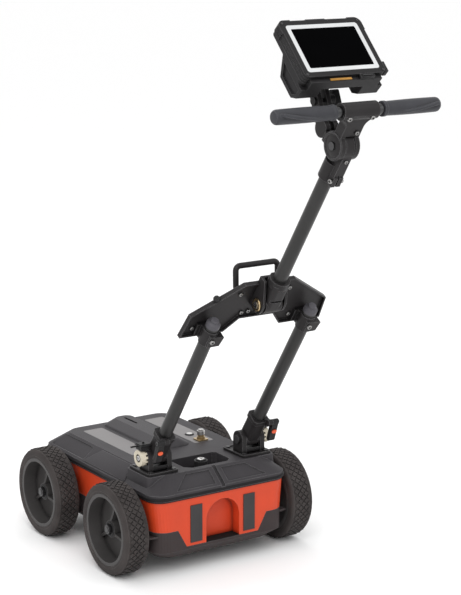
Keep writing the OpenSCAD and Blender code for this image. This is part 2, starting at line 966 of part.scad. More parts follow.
module deck_panels() {
  color([0.58, 0.57, 0.58])
    body_frame()
      difference() {
        both_sides()
          translate([panel_x, panel_y, 0])
            slab(panel_w, panel_l, wall - gap, deck_z - panel_t, panel_t);
        translate([panel_x, button_y, deck_z - panel_t - over])
          cylinder(d = button_d + 2 * gap, h = panel_t + 2 * over);
      }
}

// Long hump on the deck with a finger slot near its front
module spine_cover() {
  foot_h = 4;
  lean_in = 3;
  end_lean = 12;
  slot_l = 58;
  slot_depth = 4;
  finger_w = 7;
  color([0.22, 0.22, 0.23])
    body_frame()
      translate([0, spine_mid, 0])
        difference() {
          hull() {
            skin(spine_w, spine_l, spine_h, deck_z);
            skin(spine_w - 2 * lean_in, spine_l - 2 * lean_in, spine_h, deck_z + foot_h);
            skin(spine_top_w, spine_l - 2 * end_lean, spine_h, deck_z + spine_h - sheet);
          }
          translate([0, spine_l / 2 - slot_l, 0])
            slab(finger_w, slot_l, finger_w / 2 - run, deck_z + spine_h - slot_depth, slot_depth + over);
        }
}

// Post in the bay with a threaded insert for an accessory
module accessory_post() {
  base_h = 6;
  crown_h = 3;
  step = 7;
  top = bay_depth + crown_h;
  color([0.12, 0.12, 0.13])
    body_frame()
      translate([0, bay_y, deck_z - bay_depth])
        difference() {
          union() {
            cylinder(d = acc_d + 2 * step, h = base_h);
            cylinder(d = acc_d, h = bay_depth);
            cylinder(d = acc_d - step, h = top);
          }
          translate([0, 0, top - acc_thread])
            cylinder(d = acc_bore, h = acc_thread + over);
        }
}

module data_connector() {
  plate = conn_d + 11;
  plate_h = 3;
  hex_h = 8;
  color([0.72, 0.56, 0.28])
    body_frame()
      translate([panel_x, conn_y, 0]) {
        slab(plate, plate, wall / 2, deck_z, plate_h);
        translate([0, 0, deck_z])
          cylinder(d = conn_d, h = conn_h);
        translate([0, 0, deck_z])
          cylinder(d = conn_d + wall, h = hex_h, $fn = 6);
      }
}

module connector_cap() {
  cap_h = 9;
  knob_h = 3;
  color([0.75, 0.75, 0.74])
    body_frame()
      translate([panel_x, conn_y, deck_z + conn_h]) {
        cylinder(d = conn_d + 3, h = cap_h);
        cylinder(d = conn_d - 3, h = cap_h + knob_h);
      }
}

// Stepped push button that stands proud of its panel
module power_button() {
  proud = 2 * button_travel;
  body_h = panel_t + button_travel + proud;
  color([0.85, 0.85, 0.86])
    body_frame()
      translate([panel_x, button_y, deck_z - panel_t - button_travel])
        cylinder(d = button_d, h = body_h);
}

// Boards sealed in the body: two antennas on the tray's floor and a control board over them
module circuit_boards() {
  color([0.1, 0.35, 0.2])
    body_frame() {
      for (end = [-1, 1])
        translate([0, end * board_y, 0])
          slab(board_w, board_l, wall, board_z, board_t);
      slab(control_w, control_l, wall, shield_top, board_t);
    }
}

// Cans over the antenna boards, open towards the ground
module antenna_shields() {
  base = board_z + board_t;
  can_h = shield_top - base;
  inner_r = wall - board_t;
  color([0.7, 0.71, 0.72])
    body_frame()
      for (end = [-1, 1])
        translate([0, end * board_y, 0])
          difference() {
            slab(board_w, board_l, wall, base, can_h);
            slab(board_w - 2 * board_t, board_l - 2 * board_t, inner_r, base - over, can_h - over);
          }
}

module battery_pack() {
  base = shield_top + board_t;
  color([0.15, 0.16, 0.18])
    body_frame()
      translate([0, panel_y - pack_l / 4, 0])
        slab(pack_w, pack_l, wall, base, deck_z - 2 * wall - base - gap);
}

// Plate of a foot with a raised rim
module foot_plate() {
  difference() {
    slab(foot_w, foot_l, wall, -fold_h, foot_t);
    slab(foot_w - 2 * foot_rim, foot_l - 2 * foot_rim, wall / 2, -fold_h + foot_t - rim_h, rim_h + over);
  }
}

// Foot: a plate with two round ears that hold the fold pin
module foot(side) {
  color([0.16, 0.16, 0.17])
    fold_frame()
      on_side(side)
        translate([post_x, 0, 0])
          difference() {
            union() {
              translate([0, foot_y - fold_y, 0])
                foot_plate();
              for (x = [-ear_out, ear_in])
                cheek(x, x + ear_t) {
                  circle(knuckle_r);
                  translate([-knuckle_r, -fold_h])
                    square([2 * knuckle_r, fold_h]);
                }
              cheek(ear_in, ear_out)
                translate([-knuckle_r / 2, 0])
                  square([knuckle_r, block_z]);
            }
            axle(pin_d + 2 * run, 3 * ear_out);
            translate([0, foot_y - fold_y, 0])
              foot_holes(foot_screw_d + 2 * run, -fold_h - over, foot_t + 2 * over);
          }
}

module left_foot() { foot(-1); }
module right_foot() { foot(1); }

// Axle nuts, and the screws that hold the feet
module chassis_fasteners() {
  head_d = 2 * (hole_in - foot_rim - gap);
  head_h = 4;
  shank = foot_screw_l + foot_t - rim_h - over;
  color([0.72, 0.72, 0.74]) {
    each_wheel()
      difference() {
        translate([sleeve_end - track / 2, 0, 0])
          rotate([0, 90, 0])
            cylinder(d = nut_d, h = nut_h, $fn = 6);
        shaft(axle_d + 2 * run, 0, track);
      }
    fold_frame()
      both_sides()
        translate([post_x, foot_y - fold_y, -fold_h + foot_t - rim_h]) {
          foot_holes(head_d, 0, head_h);
          foot_holes(foot_screw_d, -shank, shank);
        }
  }
}

module fold_pins() {
  head = 5;
  color([0.7, 0.7, 0.72])
    fold_frame()
      both_sides()
        translate([post_x, 0, 0]) {
          shaft(pin_d, -ear_out - head, lock_out - head);
          shaft(pin_d + 2 * head, -ear_out - head, -ear_out);
        }
}

// Stop block over each lock wheel, with a flanged top, a release pin and a pull rod
module lock_blocks() {
  pin = 4;
  rod_d = 4;
  brim = 2;
  middle = (ear_in + lock_out) / 2;
  color([0.1, 0.1, 0.11])
    fold_frame()
      both_sides()
        translate([post_x, 0, block_z]) {
          cheek(ear_in, lock_out - over)
            translate([-block_l / 2, 0])
              square([block_l, block_h]);
          cheek(ear_in, lock_out + over)
            translate([-block_l / 2 - brim, block_h - 2 * brim])
              square([block_l + 2 * brim, brim]);
          translate([middle, 0, 0])
            cylinder(d1 = 3 * pin, d2 = pin, h = block_h + pin);
          translate([0, 0, block_h - 2 * brim])
            shaft(rod_d, middle, lock_out + pull_l);
        }
}

// Socket: a knuckle on the fold pin and a square sleeve for the post
module socket(side) {
  sleeve_r = 9;
  collar = 2;
  collar_h = 10;
  lug_x = socket_w / 2 - 11;
  lug_r = 7;
  color([0.18, 0.18, 0.19])
    handle_frame()
      on_side(side)
        translate([post_x, 0, 0])
          difference() {
            union() {
              axle(2 * knuckle_r, socket_w);
              slab(socket_w, socket_w, sleeve_r, 0, socket_l);
              slab(socket_w + 2 * collar, socket_w + 2 * collar, sleeve_r, socket_l - collar_h, collar_h);
              translate([0, lever_y, lever_z])
                shaft(lever_pin_d, lug_x, lever_in + lever_w);
              cheek(lug_x, socket_w / 2) {
                translate([lever_y, lever_z])
                  circle(lug_r);
                translate([lever_y, lever_z - 2 * lug_r])
                  square([-lever_y - tube_d / 2, 2 * lug_r]);
              }
            }
            translate([0, 0, socket_l - post_in])
              cylinder(d = post_bore, h = socket_l);
            axle(pin_d + 2 * run, 2 * socket_w);
          }
}

module left_socket() { socket(-1); }
module right_socket() { socket(1); }

// Post: a tube with a domed end
module post(side) {
  dome_h = 6;
  color([0.2, 0.2, 0.21])
    handle_frame()
      translate([side * post_x, 0, 0]) {
        tube(tube_d, tube_wall, socket_l - post_in, post_l);
        translate([0, 0, post_l])
          intersection() {
            cylinder(d = tube_d, h = dome_h);
            translate([0, 0, dome_h - tube_d])
              sphere(tube_d);
          }
      }
}

module left_post() { post(-1); }
module right_post() { post(1); }

// Wheel with face teeth that locks the fold
module lock_wheel(side) {
  ring = 7;
  recess = 4;
  slot = PI * (lock_d - ring) / lock_teeth / 2;
  color([0.87, 0.85, 0.76])
    handle_frame()
      on_side(side)
        translate([post_x, 0, 0])
          difference() {
            shaft(lock_d, lock_face, lock_out);
            shaft(lock_d - 2 * ring, lock_face - over, lock_face + tooth_h);
            for (i = [0 : lock_teeth - 1])
              rotate([i * 360 / lock_teeth, 0, 0])
                translate([lock_face - over, -slot / 2, lock_d / 2 - ring - over])
                  cube([tooth_h + over, slot, ring + 2 * over]);
            shaft(pin_d + 2 * run, 0, 2 * lock_out);
            shaft(lock_d / 2, lock_out - recess, lock_out + over);
          }
}

module left_lock_wheel() { lock_wheel(-1); }
module right_lock_wheel() { lock_wheel(1); }

// Lever frame: the lever hangs along -Z from its pin
module lever_frame(side) {
  handle_frame()
    on_side(side)
      translate([post_x, lever_y, lever_z])
        rotate([-lever_splay, 0, 0])
          children();
}

module lever(side) {
  color([0.11, 0.11, 0.12])
    lever_frame(side)
      difference() {
        cheek(lever_in, lever_in + lever_w) {
          circle(d = lever_t + 2);
          translate([-lever_t / 2, -lever_l])
            square([lever_t, lever_l]);
          translate([0, -lever_l])
            circle(d = lever_t);
        }
        shaft(lever_pin_d + 2 * run, 0, 2 * lever_in + lever_w);
      }
}

module left_lever() { lever(-1); }
module right_lever() { lever(1); }

// Coloured thumb pad on the lever's back
module lever_tab(side) {
  tab_t = 2.5;
  tab_l = lever_l / 5;
  tab_w = lever_w * 0.8;
  color([0.84, 0.3, 0.16])
    lever_frame(side)
      translate([lever_in + lever_w / 2, 0, -lever_l / 2])
        face(-lever_t / 2 - tab_t, -lever_t / 2)
          plan(tab_w, tab_l, tab_l / 2 - run);
}

module left_lever_tab() { lever_tab(-1); }
module right_lever_tab() { lever_tab(1); }

// Outline of the yoke, X across and Y along the posts from its lower edge
module yoke_shape() {
  low = post_x + yoke_side;
  mid = post_x + shoulder_side;
  top = yoke_top_w / 2;
  polygon([
    [-low, 0], [-notch_w / 2, 0], [-notch_top_w / 2, notch_h], [notch_top_w / 2, notch_h],
    [notch_w / 2, 0], [low, 0], [mid, yoke_mid_h], [top, yoke_top_h], [-top, yoke_top_h], [-mid, yoke_mid_h]
  ]);
}

module each_yoke_bolt() {
  both_sides()
    for (p = yoke_bolts)
      translate([p[0], 0, yoke_low + p[1]])
        children();
}

// Folded plate: a web in front of the posts with a flange turned back all round
module yoke_plate() {
  color([0.21, 0.21, 0.22])
    handle_frame()
      difference() {
        translate([0, 0, yoke_low]) {
          face(web_set, yoke_front)
            yoke_shape();
          face(yoke_front - flange, yoke_front)
            difference() {
              yoke_shape();
              offset(delta = -plate_t)
                yoke_shape();
            }
        }
        both_sides()
          translate([post_x - clamp_w / 2 - gap, clamp_rear - over, clamp_z])
            cube([clamp_w + 2 * gap, web_set - clamp_rear + over, clamp_l]);
        translate([-clevis_out - gap, -yoke_front, hinge_z])
          cube([2 * clevis_out + 2 * gap, web_set + yoke_front, yoke_top_h]);
        each_yoke_bolt()
          rod(bolt_d + 2 * run, 0, 2 * yoke_front);
      }
}

// Clamp that holds a post's upper end to the yoke's web
module post_clamps() {
  clamp_r = 8;
  ear = 12;
  depth = web_set - clamp_rear;
  color([0.17, 0.17, 0.18])
    handle_frame()
      for (side = [-1, 1])
        translate([side * post_x, 0, 0])
          difference() {
            union() {
              translate([0, (web_set + clamp_rear) / 2, 0])
                slab(clamp_w, depth, clamp_r, clamp_z, clamp_l);
              translate([0, web_set - depth / 4, 0])
                slab(clamp_w, depth / 2, over, clamp_z, clamp_l);
              translate([clamp_w / 2 - over, clamp_rear / 2, clamp_z])
                cube([ear + over, -clamp_rear / 2, clamp_l * 0.7]);
            }
            translate([0, 0, clamp_z - over])
              cylinder(d = post_bore, h = clamp_l + 2 * over);
            translate([0, 0, clamp_z + clamp_l / 2])
              rod(bolt_d + 2 * run, clamp_rear - over, 0);
          }
}

module clamp_bolts() {
  head_d = 11;
  head_h = 4.5;
  color([0.76, 0.76, 0.78])
    handle_frame() {
      for (side = [-1, 1])
        translate([side * post_x, 0, clamp_z + clamp_l / 2]) {
          rod(head_d, clamp_rear - head_h, clamp_rear);
          rod(bolt_d, clamp_rear - head_h, -tube_d / 2 - run);
        }
      each_yoke_bolt() {
        rod(head_d - 2, web_set - head_h, web_set);
        rod(bolt_d, web_set - head_h, yoke_front);
      }
    }
}

// Bent rod in front of the yoke
module grab_handle() {
  b = grab_bend;
  turn_y = yoke_front + grab_reach - b;
  top_z = grab_z + grab_rise;
  color([0.13, 0.13, 0.14])
    handle_frame() {
      both_sides()
        translate([grab_w / 2, 0, grab_z]) {
          rod(pad_d, yoke_front, yoke_front + pad_t);
          rod(grab_d, yoke_front, turn_y);
          translate([0, turn_y, b])
            rotate([90, 0, 90])
              rotate([0, 0, -90])
                bend(grab_d, b);
          translate([0, turn_y + b, b])
            cylinder(d = grab_d, h = grab_rise - 2 * b);
          translate([-b, turn_y + b, grab_rise - b])
            rotate([90, 0, 0])
              bend(grab_d, b);
        }
      translate([0, turn_y + b, top_z])
        axle(grab_d, grab_w - 2 * b);
    }
}

// Two plates on a base that carry the mast hinge
module mast_clevis() {
  color([0.15, 0.15, 0.16])
    handle_frame()
      translate([0, 0, hinge_z])
        difference() {
          union() {
            translate([-clevis_out, web_set - clevis_base, -heel])
              cube([2 * clevis_out, clevis_base, heel + clevis_h]);
            both_sides()
              cheek(clevis_x, clevis_out) {
                circle(hinge_r - over);
                polygon([
                  [web_set - over, -heel], [web_set - over, clevis_h], [web_set - clevis_l, clevis_h],
                  [over - hinge_r, hinge_r / 2], [over - hinge_r, 0], [0, over - hinge_r]
                ]);
              }
          }
          axle(pin_d + 2 * run, 4 * clevis_out);
        }
}

module mast_pin() {
  head = 5;
  color([0.76, 0.76, 0.78])
    handle_frame()
      translate([0, 0, hinge_z]) {
        axle(pin_d, 2 * clevis_out + 2 * head);
        both_sides()
          shaft(pin_d + head, clevis_out, clevis_out + head);
      }
}

// Toothed washers between the clevis and the mast socket
module lock_washers() {
  teeth = 16;
  notch = washer_d / 10;
  color([0.78, 0.6, 0.32])
    handle_frame()
      translate([0, 0, hinge_z])
        both_sides()
          difference() {
            shaft(washer_d, clevis_x - washer_t, clevis_x);
            shaft(pin_d + 2 * run, 0, 2 * clevis_x);
            for (i = [0 : teeth - 1])
              rotate([i * 360 / teeth, 0, 0])
                translate([clevis_x - washer_t / 2, 0, washer_d / 2])
                  rotate([45, 0, 0])
                    cube([2 * washer_t, notch, notch], center = true);
          }
}

// Socket that turns on the hinge and holds the mast, with a collar round its top
module mast_socket() {
  corner = 12;
  collar = 2;
  collar_h = 16;
  notch = 6;
  color([0.2, 0.2, 0.21])
    handle_frame()
      translate([0, 0, hinge_z])
        difference() {
          union() {
            axle(2 * hinge_r, mast_w);
            slab(mast_w, 2 * hinge_r, corner, 0, mast_socket_l - collar_h / 2);
            translate([0, 0, mast_socket_l - collar_h])
              cylinder(d = mast_w + 2 * collar, h = collar_h);
          }
          translate([0, 0, mast_socket_l - mast_in])
            cylinder(d = post_bore, h = mast_socket_l);
          axle(pin_d + 2 * run, 2 * mast_w);
          translate([-mast_w, hinge_r + run, 0])
            cube([2 * mast_w, mast_w, mast_socket_l + over]);
          translate([-mast_w, -hinge_r - over, hinge_r])
            cube([2 * mast_w, notch / 2 + over, notch]);
        }
}

module mast_tube() {
  color([0.22, 0.22, 0.23])
    handle_frame()
      tube(tube_d, tube_wall, mast_start, mast_end);
}

// Cap pinched on the mast, with the tilt joint's middle knuckle on a strap
module mast_cap() {
  neck = 12;
  step = 9;
  strap_up = 6;
  ear_w = 11;
  ear_h = 22;
  slit = 3;
  ear_y = -cap_d / 2 - ear_w;
  color([0.19, 0.19, 0.2])
    handle_frame()
      difference() {
        union() {
          translate([0, 0, cap_top - cap_l]) {
            cylinder(d = cap_d, h = cap_l);
            translate([-ear_w, ear_y, 0])
              cube([2 * ear_w, ear_w + cap_wall, ear_h]);
          }
          translate([0, 0, tilt_z])
            axle(disc_d - 2 * step, knuckle_w);
          translate([-knuckle_w / 2, -neck, cap_top - over])
            cube([knuckle_w, 2 * neck, tilt_z - cap_top + over]);
          translate([-knuckle_w / 2, over - disc_r, cap_top - cap_l / 2])
            cube([knuckle_w, disc_r - over, tilt_z + strap_up - cap_top + cap_l / 2]);
        }
        translate([0, 0, cap_top - cap_l - over])
          cylinder(d = post_bore, h = mast_end - cap_top + cap_l + over);
        translate([-slit / 2, ear_y - over, cap_top - cap_l - over])
          cube([slit, cap_d / 2 + ear_w, ear_h + 2 * over + slit]);
        translate([0, ear_y + ear_w / 2, cap_top - cap_l + ear_h / 2])
          axle(bolt_d, 4 * ear_w);
        translate([0, 0, tilt_z])
          axle(tilt_d + 2 * run, 2 * knuckle_w);
      }
}

module tilt_pin() {
  head = 4;
  color([0.76, 0.76, 0.78])
    handle_frame()
      translate([0, 0, tilt_z]) {
        axle(tilt_d, 2 * disc_out + 2 * head);
        both_sides()
          shaft(tilt_d + 2 * head, disc_out, disc_out + head);
      }
}

// Lower half of the bar clamp: two discs, a stem that flares in an arc and a saddle
module bar_clamp() {
  lip = 4;
  stem_z = disc_r + lip / 2;
  seat_z = bar_up - bar_clamp_d / 4;
  half = bar_clamp_l / 2;
  flare = half - disc_out;
  throat = seat_z - flare - lip;
  color([0.19, 0.19, 0.2])
    handle_frame()
      translate([0, 0, tilt_z])
        difference() {
          union() {
            both_sides() {
              shaft(disc_d, disc_in, disc_out);
              cheek(disc_in, disc_out) {
                translate([-stem_t, 0])
                  square([2 * stem_t, seat_z]);
                translate([0, ball_up - seat_h])
                  square([disc_r + over, 2 * seat_h]);
              }
            }
            face(-stem_t, stem_t)
              difference() {
                translate([-half, stem_z])
                  square([2 * half, seat_z - stem_z]);
                for (x = [-half, half])
                  translate([x, throat]) {
                    circle(flare);
                    translate([-flare, stem_z - throat - over])
                      square([2 * flare, throat - stem_z + over]);
                  }
              }
            translate([0, 0, bar_up])
              axle(bar_clamp_d, bar_clamp_l);
          }
          translate([-bar_clamp_l, -bar_clamp_d, bar_up - gap / 2])
            cube([2 * bar_clamp_l, 2 * bar_clamp_d, bar_clamp_d]);
          translate([0, 0, bar_up])
            axle(bar_d + 2 * run, 2 * bar_clamp_l);
          axle(tilt_d + 2 * run, 3 * disc_out);
        }
}

// Upper half of the bar clamp
module bar_cap() {
  color([0.24, 0.24, 0.25])
    handle_frame()
      translate([0, 0, bar_z])
        difference() {
          axle(bar_clamp_d, bar_clamp_l);
          translate([-bar_clamp_l, -bar_clamp_d, gap / 2 - bar_clamp_d])
            cube([2 * bar_clamp_l, 2 * bar_clamp_d, bar_clamp_d]);
          axle(bar_d + 2 * run, 2 * bar_clamp_l);
        }
}

module handlebar() {
  l = bar_w - 2 * end_wall;
  color([0.78, 0.78, 0.8])
    handle_frame()
      translate([0, 0, bar_z])
        difference() {
          axle(bar_d, l);
          axle(bar_d - 2 * bar_wall, l + 2 * over);
        }
}

// Grip: a round body that tapers inward, a palm rest that widens outward and a domed end
module grip(side) {
  neck_w = bar_d + end_wall;
  edge_y = (edge_d - grip_d) / 2;
  edge_l = grip_l - taper;
  color([0.3, 0.31, 0.33])
    handle_frame()
      on_side(side)
        translate([grip_in, 0, bar_z])
          difference() {
            intersection() {
              union() {
                rotate([0, 90, 0])
                  cylinder(d1 = neck_w, d2 = grip_d, h = taper);
                shaft(grip_d, taper, grip_l);
                intersection() {
                  shaft(4 * grip_d, taper, grip_l);
                  translate([taper, edge_y, 0])
                    rotate([0, 0, -atan2(palm, edge_l)])
                      union() {
                        shaft(edge_d, -edge_d, grip_l + edge_d);
                        translate([-edge_d, 0, -edge_d / 2])
                          cube([grip_l + 2 * edge_d, palm + edge_d / 2, edge_d]);
                      }
                }
              }
              union() {
                translate([grip_l - dome_r, 0, 0])
                  sphere(dome_r);
                shaft(2 * dome_r - over, -over, grip_l - dome_r);
              }
            }
            shaft(bar_d + 2 * run, -over, grip_l - end_wall);
          }
}

module left_grip() { grip(-1); }
module right_grip() { grip(1); }

// Ball on a plate in front of the tilt joint
module base_ball() {
  plate_y = disc_r + over;
  base_t = 4;
  color([0.12, 0.12, 0.13])
    handle_frame()
      translate([0, 0, tilt_z + ball_up]) {
        face(plate_y, plate_y + base_t)
          square([2 * disc_out, 2 * seat_h], center = true);
        rod(neck_d, plate_y, ball_reach);
        translate([0, ball_reach, 0])
          sphere(d = ball_d);
      }
}

// Two halves that grip both balls, drawn together by the knob's bolt
module tablet_arm() {
  waist = 24;
  color([0.13, 0.13, 0.14])
    arm_frame()
      both_sides()
        difference() {
          cheek(arm_in, arm_out) {
            for (z = [0, arm_l])
              translate([0, z])
                circle(d = arm_w);
            translate([-waist / 2, 0])
              square([waist, arm_l]);
          }
          for (z = [0, arm_l])
            translate([0, 0, z])
              rotate([0, 0, 90])
                sphere(d = socket_d);
          translate([0, 0, arm_l / 2])
            axle(arm_bolt_d + 2 * run, 3 * arm_out);
        }
}

module arm_knob() {
  hub = 22;
  hub_t = 12;
  wing_w = 11;
  wing_t = 16;
  head_t = 4;
  inner = arm_out + gap;
  color([0.1, 0.1, 0.11])
    arm_frame()
      translate([0, 0, arm_l / 2]) {
        shaft(arm_bolt_d, -arm_out - gap - head_t, inner + hub_t);
        shaft(arm_bolt_d + 2 * head_t, -arm_out - gap - head_t, -arm_out - gap);
        shaft(hub, inner, inner + hub_t);
        cheek(inner + hub_t - over, inner + hub_t + wing_t)
          plan(wing_w, wing_l, wing_w / 2 - run);
      }
}

// Cradle: a back plate, a shelf under the tablet, two deep side blocks and the upper ball
module tablet_cradle() {
  back = -case_t - cradle_t;
  half_h = case_h / 2;
  block_top = 12;
  block_rise = 26;
  shelf_back = 7;
  rim = 7;
  dent = 3;
  foot_d = 34;
  color([0.15, 0.15, 0.16])
    tablet_frame() {
      translate([0, 0, back])
        linear_extrude(cradle_t)
          plan(case_w, case_h, case_r);
      translate([-case_w / 2 + case_r, -half_h - cradle_t, back])
        cube([case_w - 2 * case_r, cradle_t, case_t + cradle_t - shelf_back]);
      both_sides()
        difference() {
          cheek(case_w / 2 - block_w, case_w / 2)
            block_side(back, block_top, block_rise);
          cheek(case_w / 2 - dent, case_w / 2 + over)
            offset(delta = -rim)
              block_side(back, block_top, block_rise);
        }
      translate([0, 0, -ball_back])
        sphere(d = ball_d);
      translate([0, 0, -ball_back])
        cylinder(d = neck_d, h = ball_back + back + over);
      translate([0, 0, back - wall])
        cylinder(d = foot_d, h = wall);
    }
}

// Side of a cradle block: Y up the screen and Z out of it
module block_side(back, top, rise) {
  low = -case_h / 2 - cradle_t;
  polygon([
    [top, back], [top - rise, back - block_depth], [low + rise / 2, back - block_depth],
    [low, back - block_depth + rise / 2], [low, back]
  ]);
}

// Case with raised corners, a hump on its upper edge and two grooves round its sides
module tablet_case() {
  corner_l = 30;
  hump_w = 44;
  hump_t = 9;
  groove = 1.5;
  half_h = case_h / 2;
  color([0.14, 0.14, 0.15])
    tablet_frame()
      difference() {
        union() {
          slab(case_w, case_h, case_r, -case_t, case_t);
          intersection() {
            slab(case_w + 2 * bumper, case_h + 2 * bumper, case_r + bumper, -case_t, case_t);
            both_sides()
              translate([case_w / 2 + bumper - corner_l, half_h + bumper - corner_l, -case_t])
                cube([corner_l, corner_l, case_t]);
          }
          translate([0, half_h - hump_t, 0])
            slab(hump_w, 2 * hump_t + 2 * bumper, wall, -case_t + hump_t / 2, hump_t);
        }
        for (z = [-case_t * 0.36, -case_t * 0.68])
          difference() {
            slab(2 * case_w, 2 * case_h, case_r, z - groove / 2, groove);
            slab(case_w - groove, case_h - groove, case_r - groove / 2, z - groove, 2 * groove);
          }
        slab(bezel_out_w + 2 * run, bezel_out_h + 2 * run, case_r / 2, -bezel_t, bezel_t + over);
      }
}

module tablet_bezel() {
  color([0.8, 0.81, 0.83])
    tablet_frame()
      difference() {
        slab(bezel_out_w, bezel_out_h, case_r / 2, -bezel_t, bezel_t);
        slab(screen_w + 2 * run, screen_h + 2 * run, bezel_t, -bezel_t - over, bezel_t + 2 * over);
      }
}

module tablet_screen() {
  recess = 0.6;
  color([0.03, 0.03, 0.04])
    tablet_frame()
      slab(screen_w, screen_h, bezel_t, -bezel_t, bezel_t - recess);
}

skid_tray();
antenna_housing();
top_cover();
deck_panels();
spine_cover();
accessory_post();
data_connector();
connector_cap();
power_button();
left_foot();
right_foot();
chassis_fasteners();
axle_studs();
axle_sleeves();
fold_pins();
lock_blocks();
battery_pack();
circuit_boards();
antenna_shields();
tyre_fl();
tyre_fr();
tyre_rl();
tyre_rr();
rim_fl();
rim_fr();
rim_rl();
rim_rr();
left_socket();
right_socket();
left_post();
right_post();
left_lock_wheel();
right_lock_wheel();
left_lever();
right_lever();
left_lever_tab();
right_lever_tab();
yoke_plate();
post_clamps();
clamp_bolts();
grab_handle();
mast_clevis();
mast_pin();
lock_washers();
mast_socket();
mast_tube();
mast_cap();
tilt_pin();
bar_clamp();
bar_cap();
handlebar();
left_grip();
right_grip();
base_ball();
tablet_arm();
arm_knob();
tablet_cradle();
tablet_case();
tablet_bezel();
tablet_screen();
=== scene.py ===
"""Looks of a ground radar survey cart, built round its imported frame."""

import logging
import math
from dataclasses import dataclass, field
from enum import Enum
from typing import Any, Callable, Sequence

import bpy
from mathutils import Matrix, Vector


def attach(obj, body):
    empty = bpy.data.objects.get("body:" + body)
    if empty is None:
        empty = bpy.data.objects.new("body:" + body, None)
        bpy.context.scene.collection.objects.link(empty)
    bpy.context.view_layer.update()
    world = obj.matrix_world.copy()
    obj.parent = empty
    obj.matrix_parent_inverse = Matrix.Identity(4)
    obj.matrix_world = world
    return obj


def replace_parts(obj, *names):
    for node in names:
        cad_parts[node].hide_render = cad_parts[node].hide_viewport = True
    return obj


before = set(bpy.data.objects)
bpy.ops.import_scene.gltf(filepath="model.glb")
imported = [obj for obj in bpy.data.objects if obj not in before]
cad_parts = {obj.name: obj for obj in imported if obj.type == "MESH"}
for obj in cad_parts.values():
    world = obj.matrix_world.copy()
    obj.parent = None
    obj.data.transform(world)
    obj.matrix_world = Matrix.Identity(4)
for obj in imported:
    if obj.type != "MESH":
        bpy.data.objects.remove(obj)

Colour = tuple[float, float, float]
Triple = tuple[float, float, float]
Pairs = tuple[tuple[float, float], ...]
Piece = bpy.types.Object
Tree = bpy.types.NodeTree
Socket = bpy.types.NodeSocket
Inputs = dict[str | int, Any]
FaceTest = Callable[[bpy.types.MeshPolygon], bool]

LOG = logging.getLogger("cart")
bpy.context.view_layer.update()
NODES: dict[str, Piece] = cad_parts
MM = 0.001
SIDES = ((-1, "left"), (1, "right"))
UP, REAR, FORWARD, RIGHT = (0, 0, 1), (0, -1, 0), (0, 1, 0), (1, 0, 0)


def mm(*values: float) -> Vector:
    """Turns coordinates in millimetres into a vector in metres."""
    return Vector(values) * MM


def shift(place: Matrix, *step: float) -> Matrix:
    """Moves a frame by a step in millimetres along its own axes."""
    return place @ Matrix.Translation(mm(*step))


def seat(place: Matrix, point: Sequence[float], axis: Sequence[float]) -> Matrix:
    """Makes the frame of a piece that stands on a point (mm), with its Z along an axis."""
    turn = Vector(axis).to_track_quat("Z", "Y").to_matrix().to_4x4()
    return shift(place, *point) @ turn


def facing(axis: Sequence[float], limit: float = 0.9) -> FaceTest:
    """Makes a test for faces whose normal has at least this cosine to an axis."""
    way = Vector(axis).normalized()
    return lambda polygon: polygon.normal.dot(way) > limit


def upright(polygon: bpy.types.MeshPolygon, limit: float = 0.1) -> bool:
    """Says whether a face stands upright, with its normal about level."""
    return abs(polygon.normal.z) < limit


@dataclass(frozen=True)
class Layout:
    """Places that the solids share, in millimetres and degrees."""

    frame_y: float = 236.109
    fold_y: float = -169.0
    fold_z: float = 254.2
    lean: float = 34.2
    post_x: float = 121.7
    hinge_s: float = 446.0
    tilt_s: float = 872.0
    bar_s: float = 957.0
    ball_reach: float = 55.0
    ball_s: float = 868.0
    arm_lean: float = 22.0
    arm_l: float = 110.0
    screen_tilt: float = 43.6
    ball_back: float = 78.0

    def body(self) -> Matrix:
        """Returns the frame on the floor under the middle of the wheelbase."""
        return Matrix.Translation(mm(0, self.frame_y, 0))

    def handle(self) -> Matrix:
        """Returns the frame on the fold axis, with Z along the posts and Y forward."""
        place = Matrix.Translation(mm(0, self.frame_y + self.fold_y, self.fold_z))
        return place @ Matrix.Rotation(math.radians(self.lean), 4, "X")

    def arm(self) -> Matrix:
        """Returns the frame on the base ball, with Z along the tablet arm."""
        turn = Matrix.Rotation(-math.radians(self.lean + self.arm_lean), 4, "X")
        return shift(self.handle(), 0, self.ball_reach, self.ball_s) @ turn

    def tablet(self) -> Matrix:
        """Returns the frame on the screen's face, with Y up the screen and Z out of it."""
        turn = Matrix.Rotation(math.radians(self.arm_lean + 90 - self.screen_tilt), 4, "X")
        return shift(shift(self.arm(), 0, 0, self.arm_l) @ turn, 0, 0, self.ball_back)


LAYOUT = Layout()


def feed(tree: Tree, node: bpy.types.Node, values: Inputs, links: Inputs) -> None:
    """Sets a node's inputs.

    Args:
        tree: The nodes to which it belongs.
        node: The node.
        values: Fixed value of each input, by name or number.
        links: Socket that feeds each input, by name or number.
    """
    for key, value in values.items():
        node.inputs[key].default_value = value
    for key, socket in links.items():
        tree.links.new(socket, node.inputs[key])


def add_node(
    tree: Tree, kind: str, values: Inputs | None = None, links: Inputs | None = None, **settings: Any
) -> bpy.types.Node:
    """Adds a shader node.

    Args:
        tree: The nodes to add to.
        kind: The node's type.
        values: Fixed value of each input, by name or number.
        links: Socket that feeds each input, by name or number.
        settings: The node's own settings.

    Returns:
        The node.
    """
    node = tree.nodes.new(f"ShaderNode{kind}")
    for name, value in settings.items():
        setattr(node, name, value)
    feed(tree, node, values or {}, links or {})
    return node


class Pattern(Enum):
    """Fine structure of a surface."""

    GRAIN = "grain"
    BRUSHED = "brushed"
    PEEL = "peel"


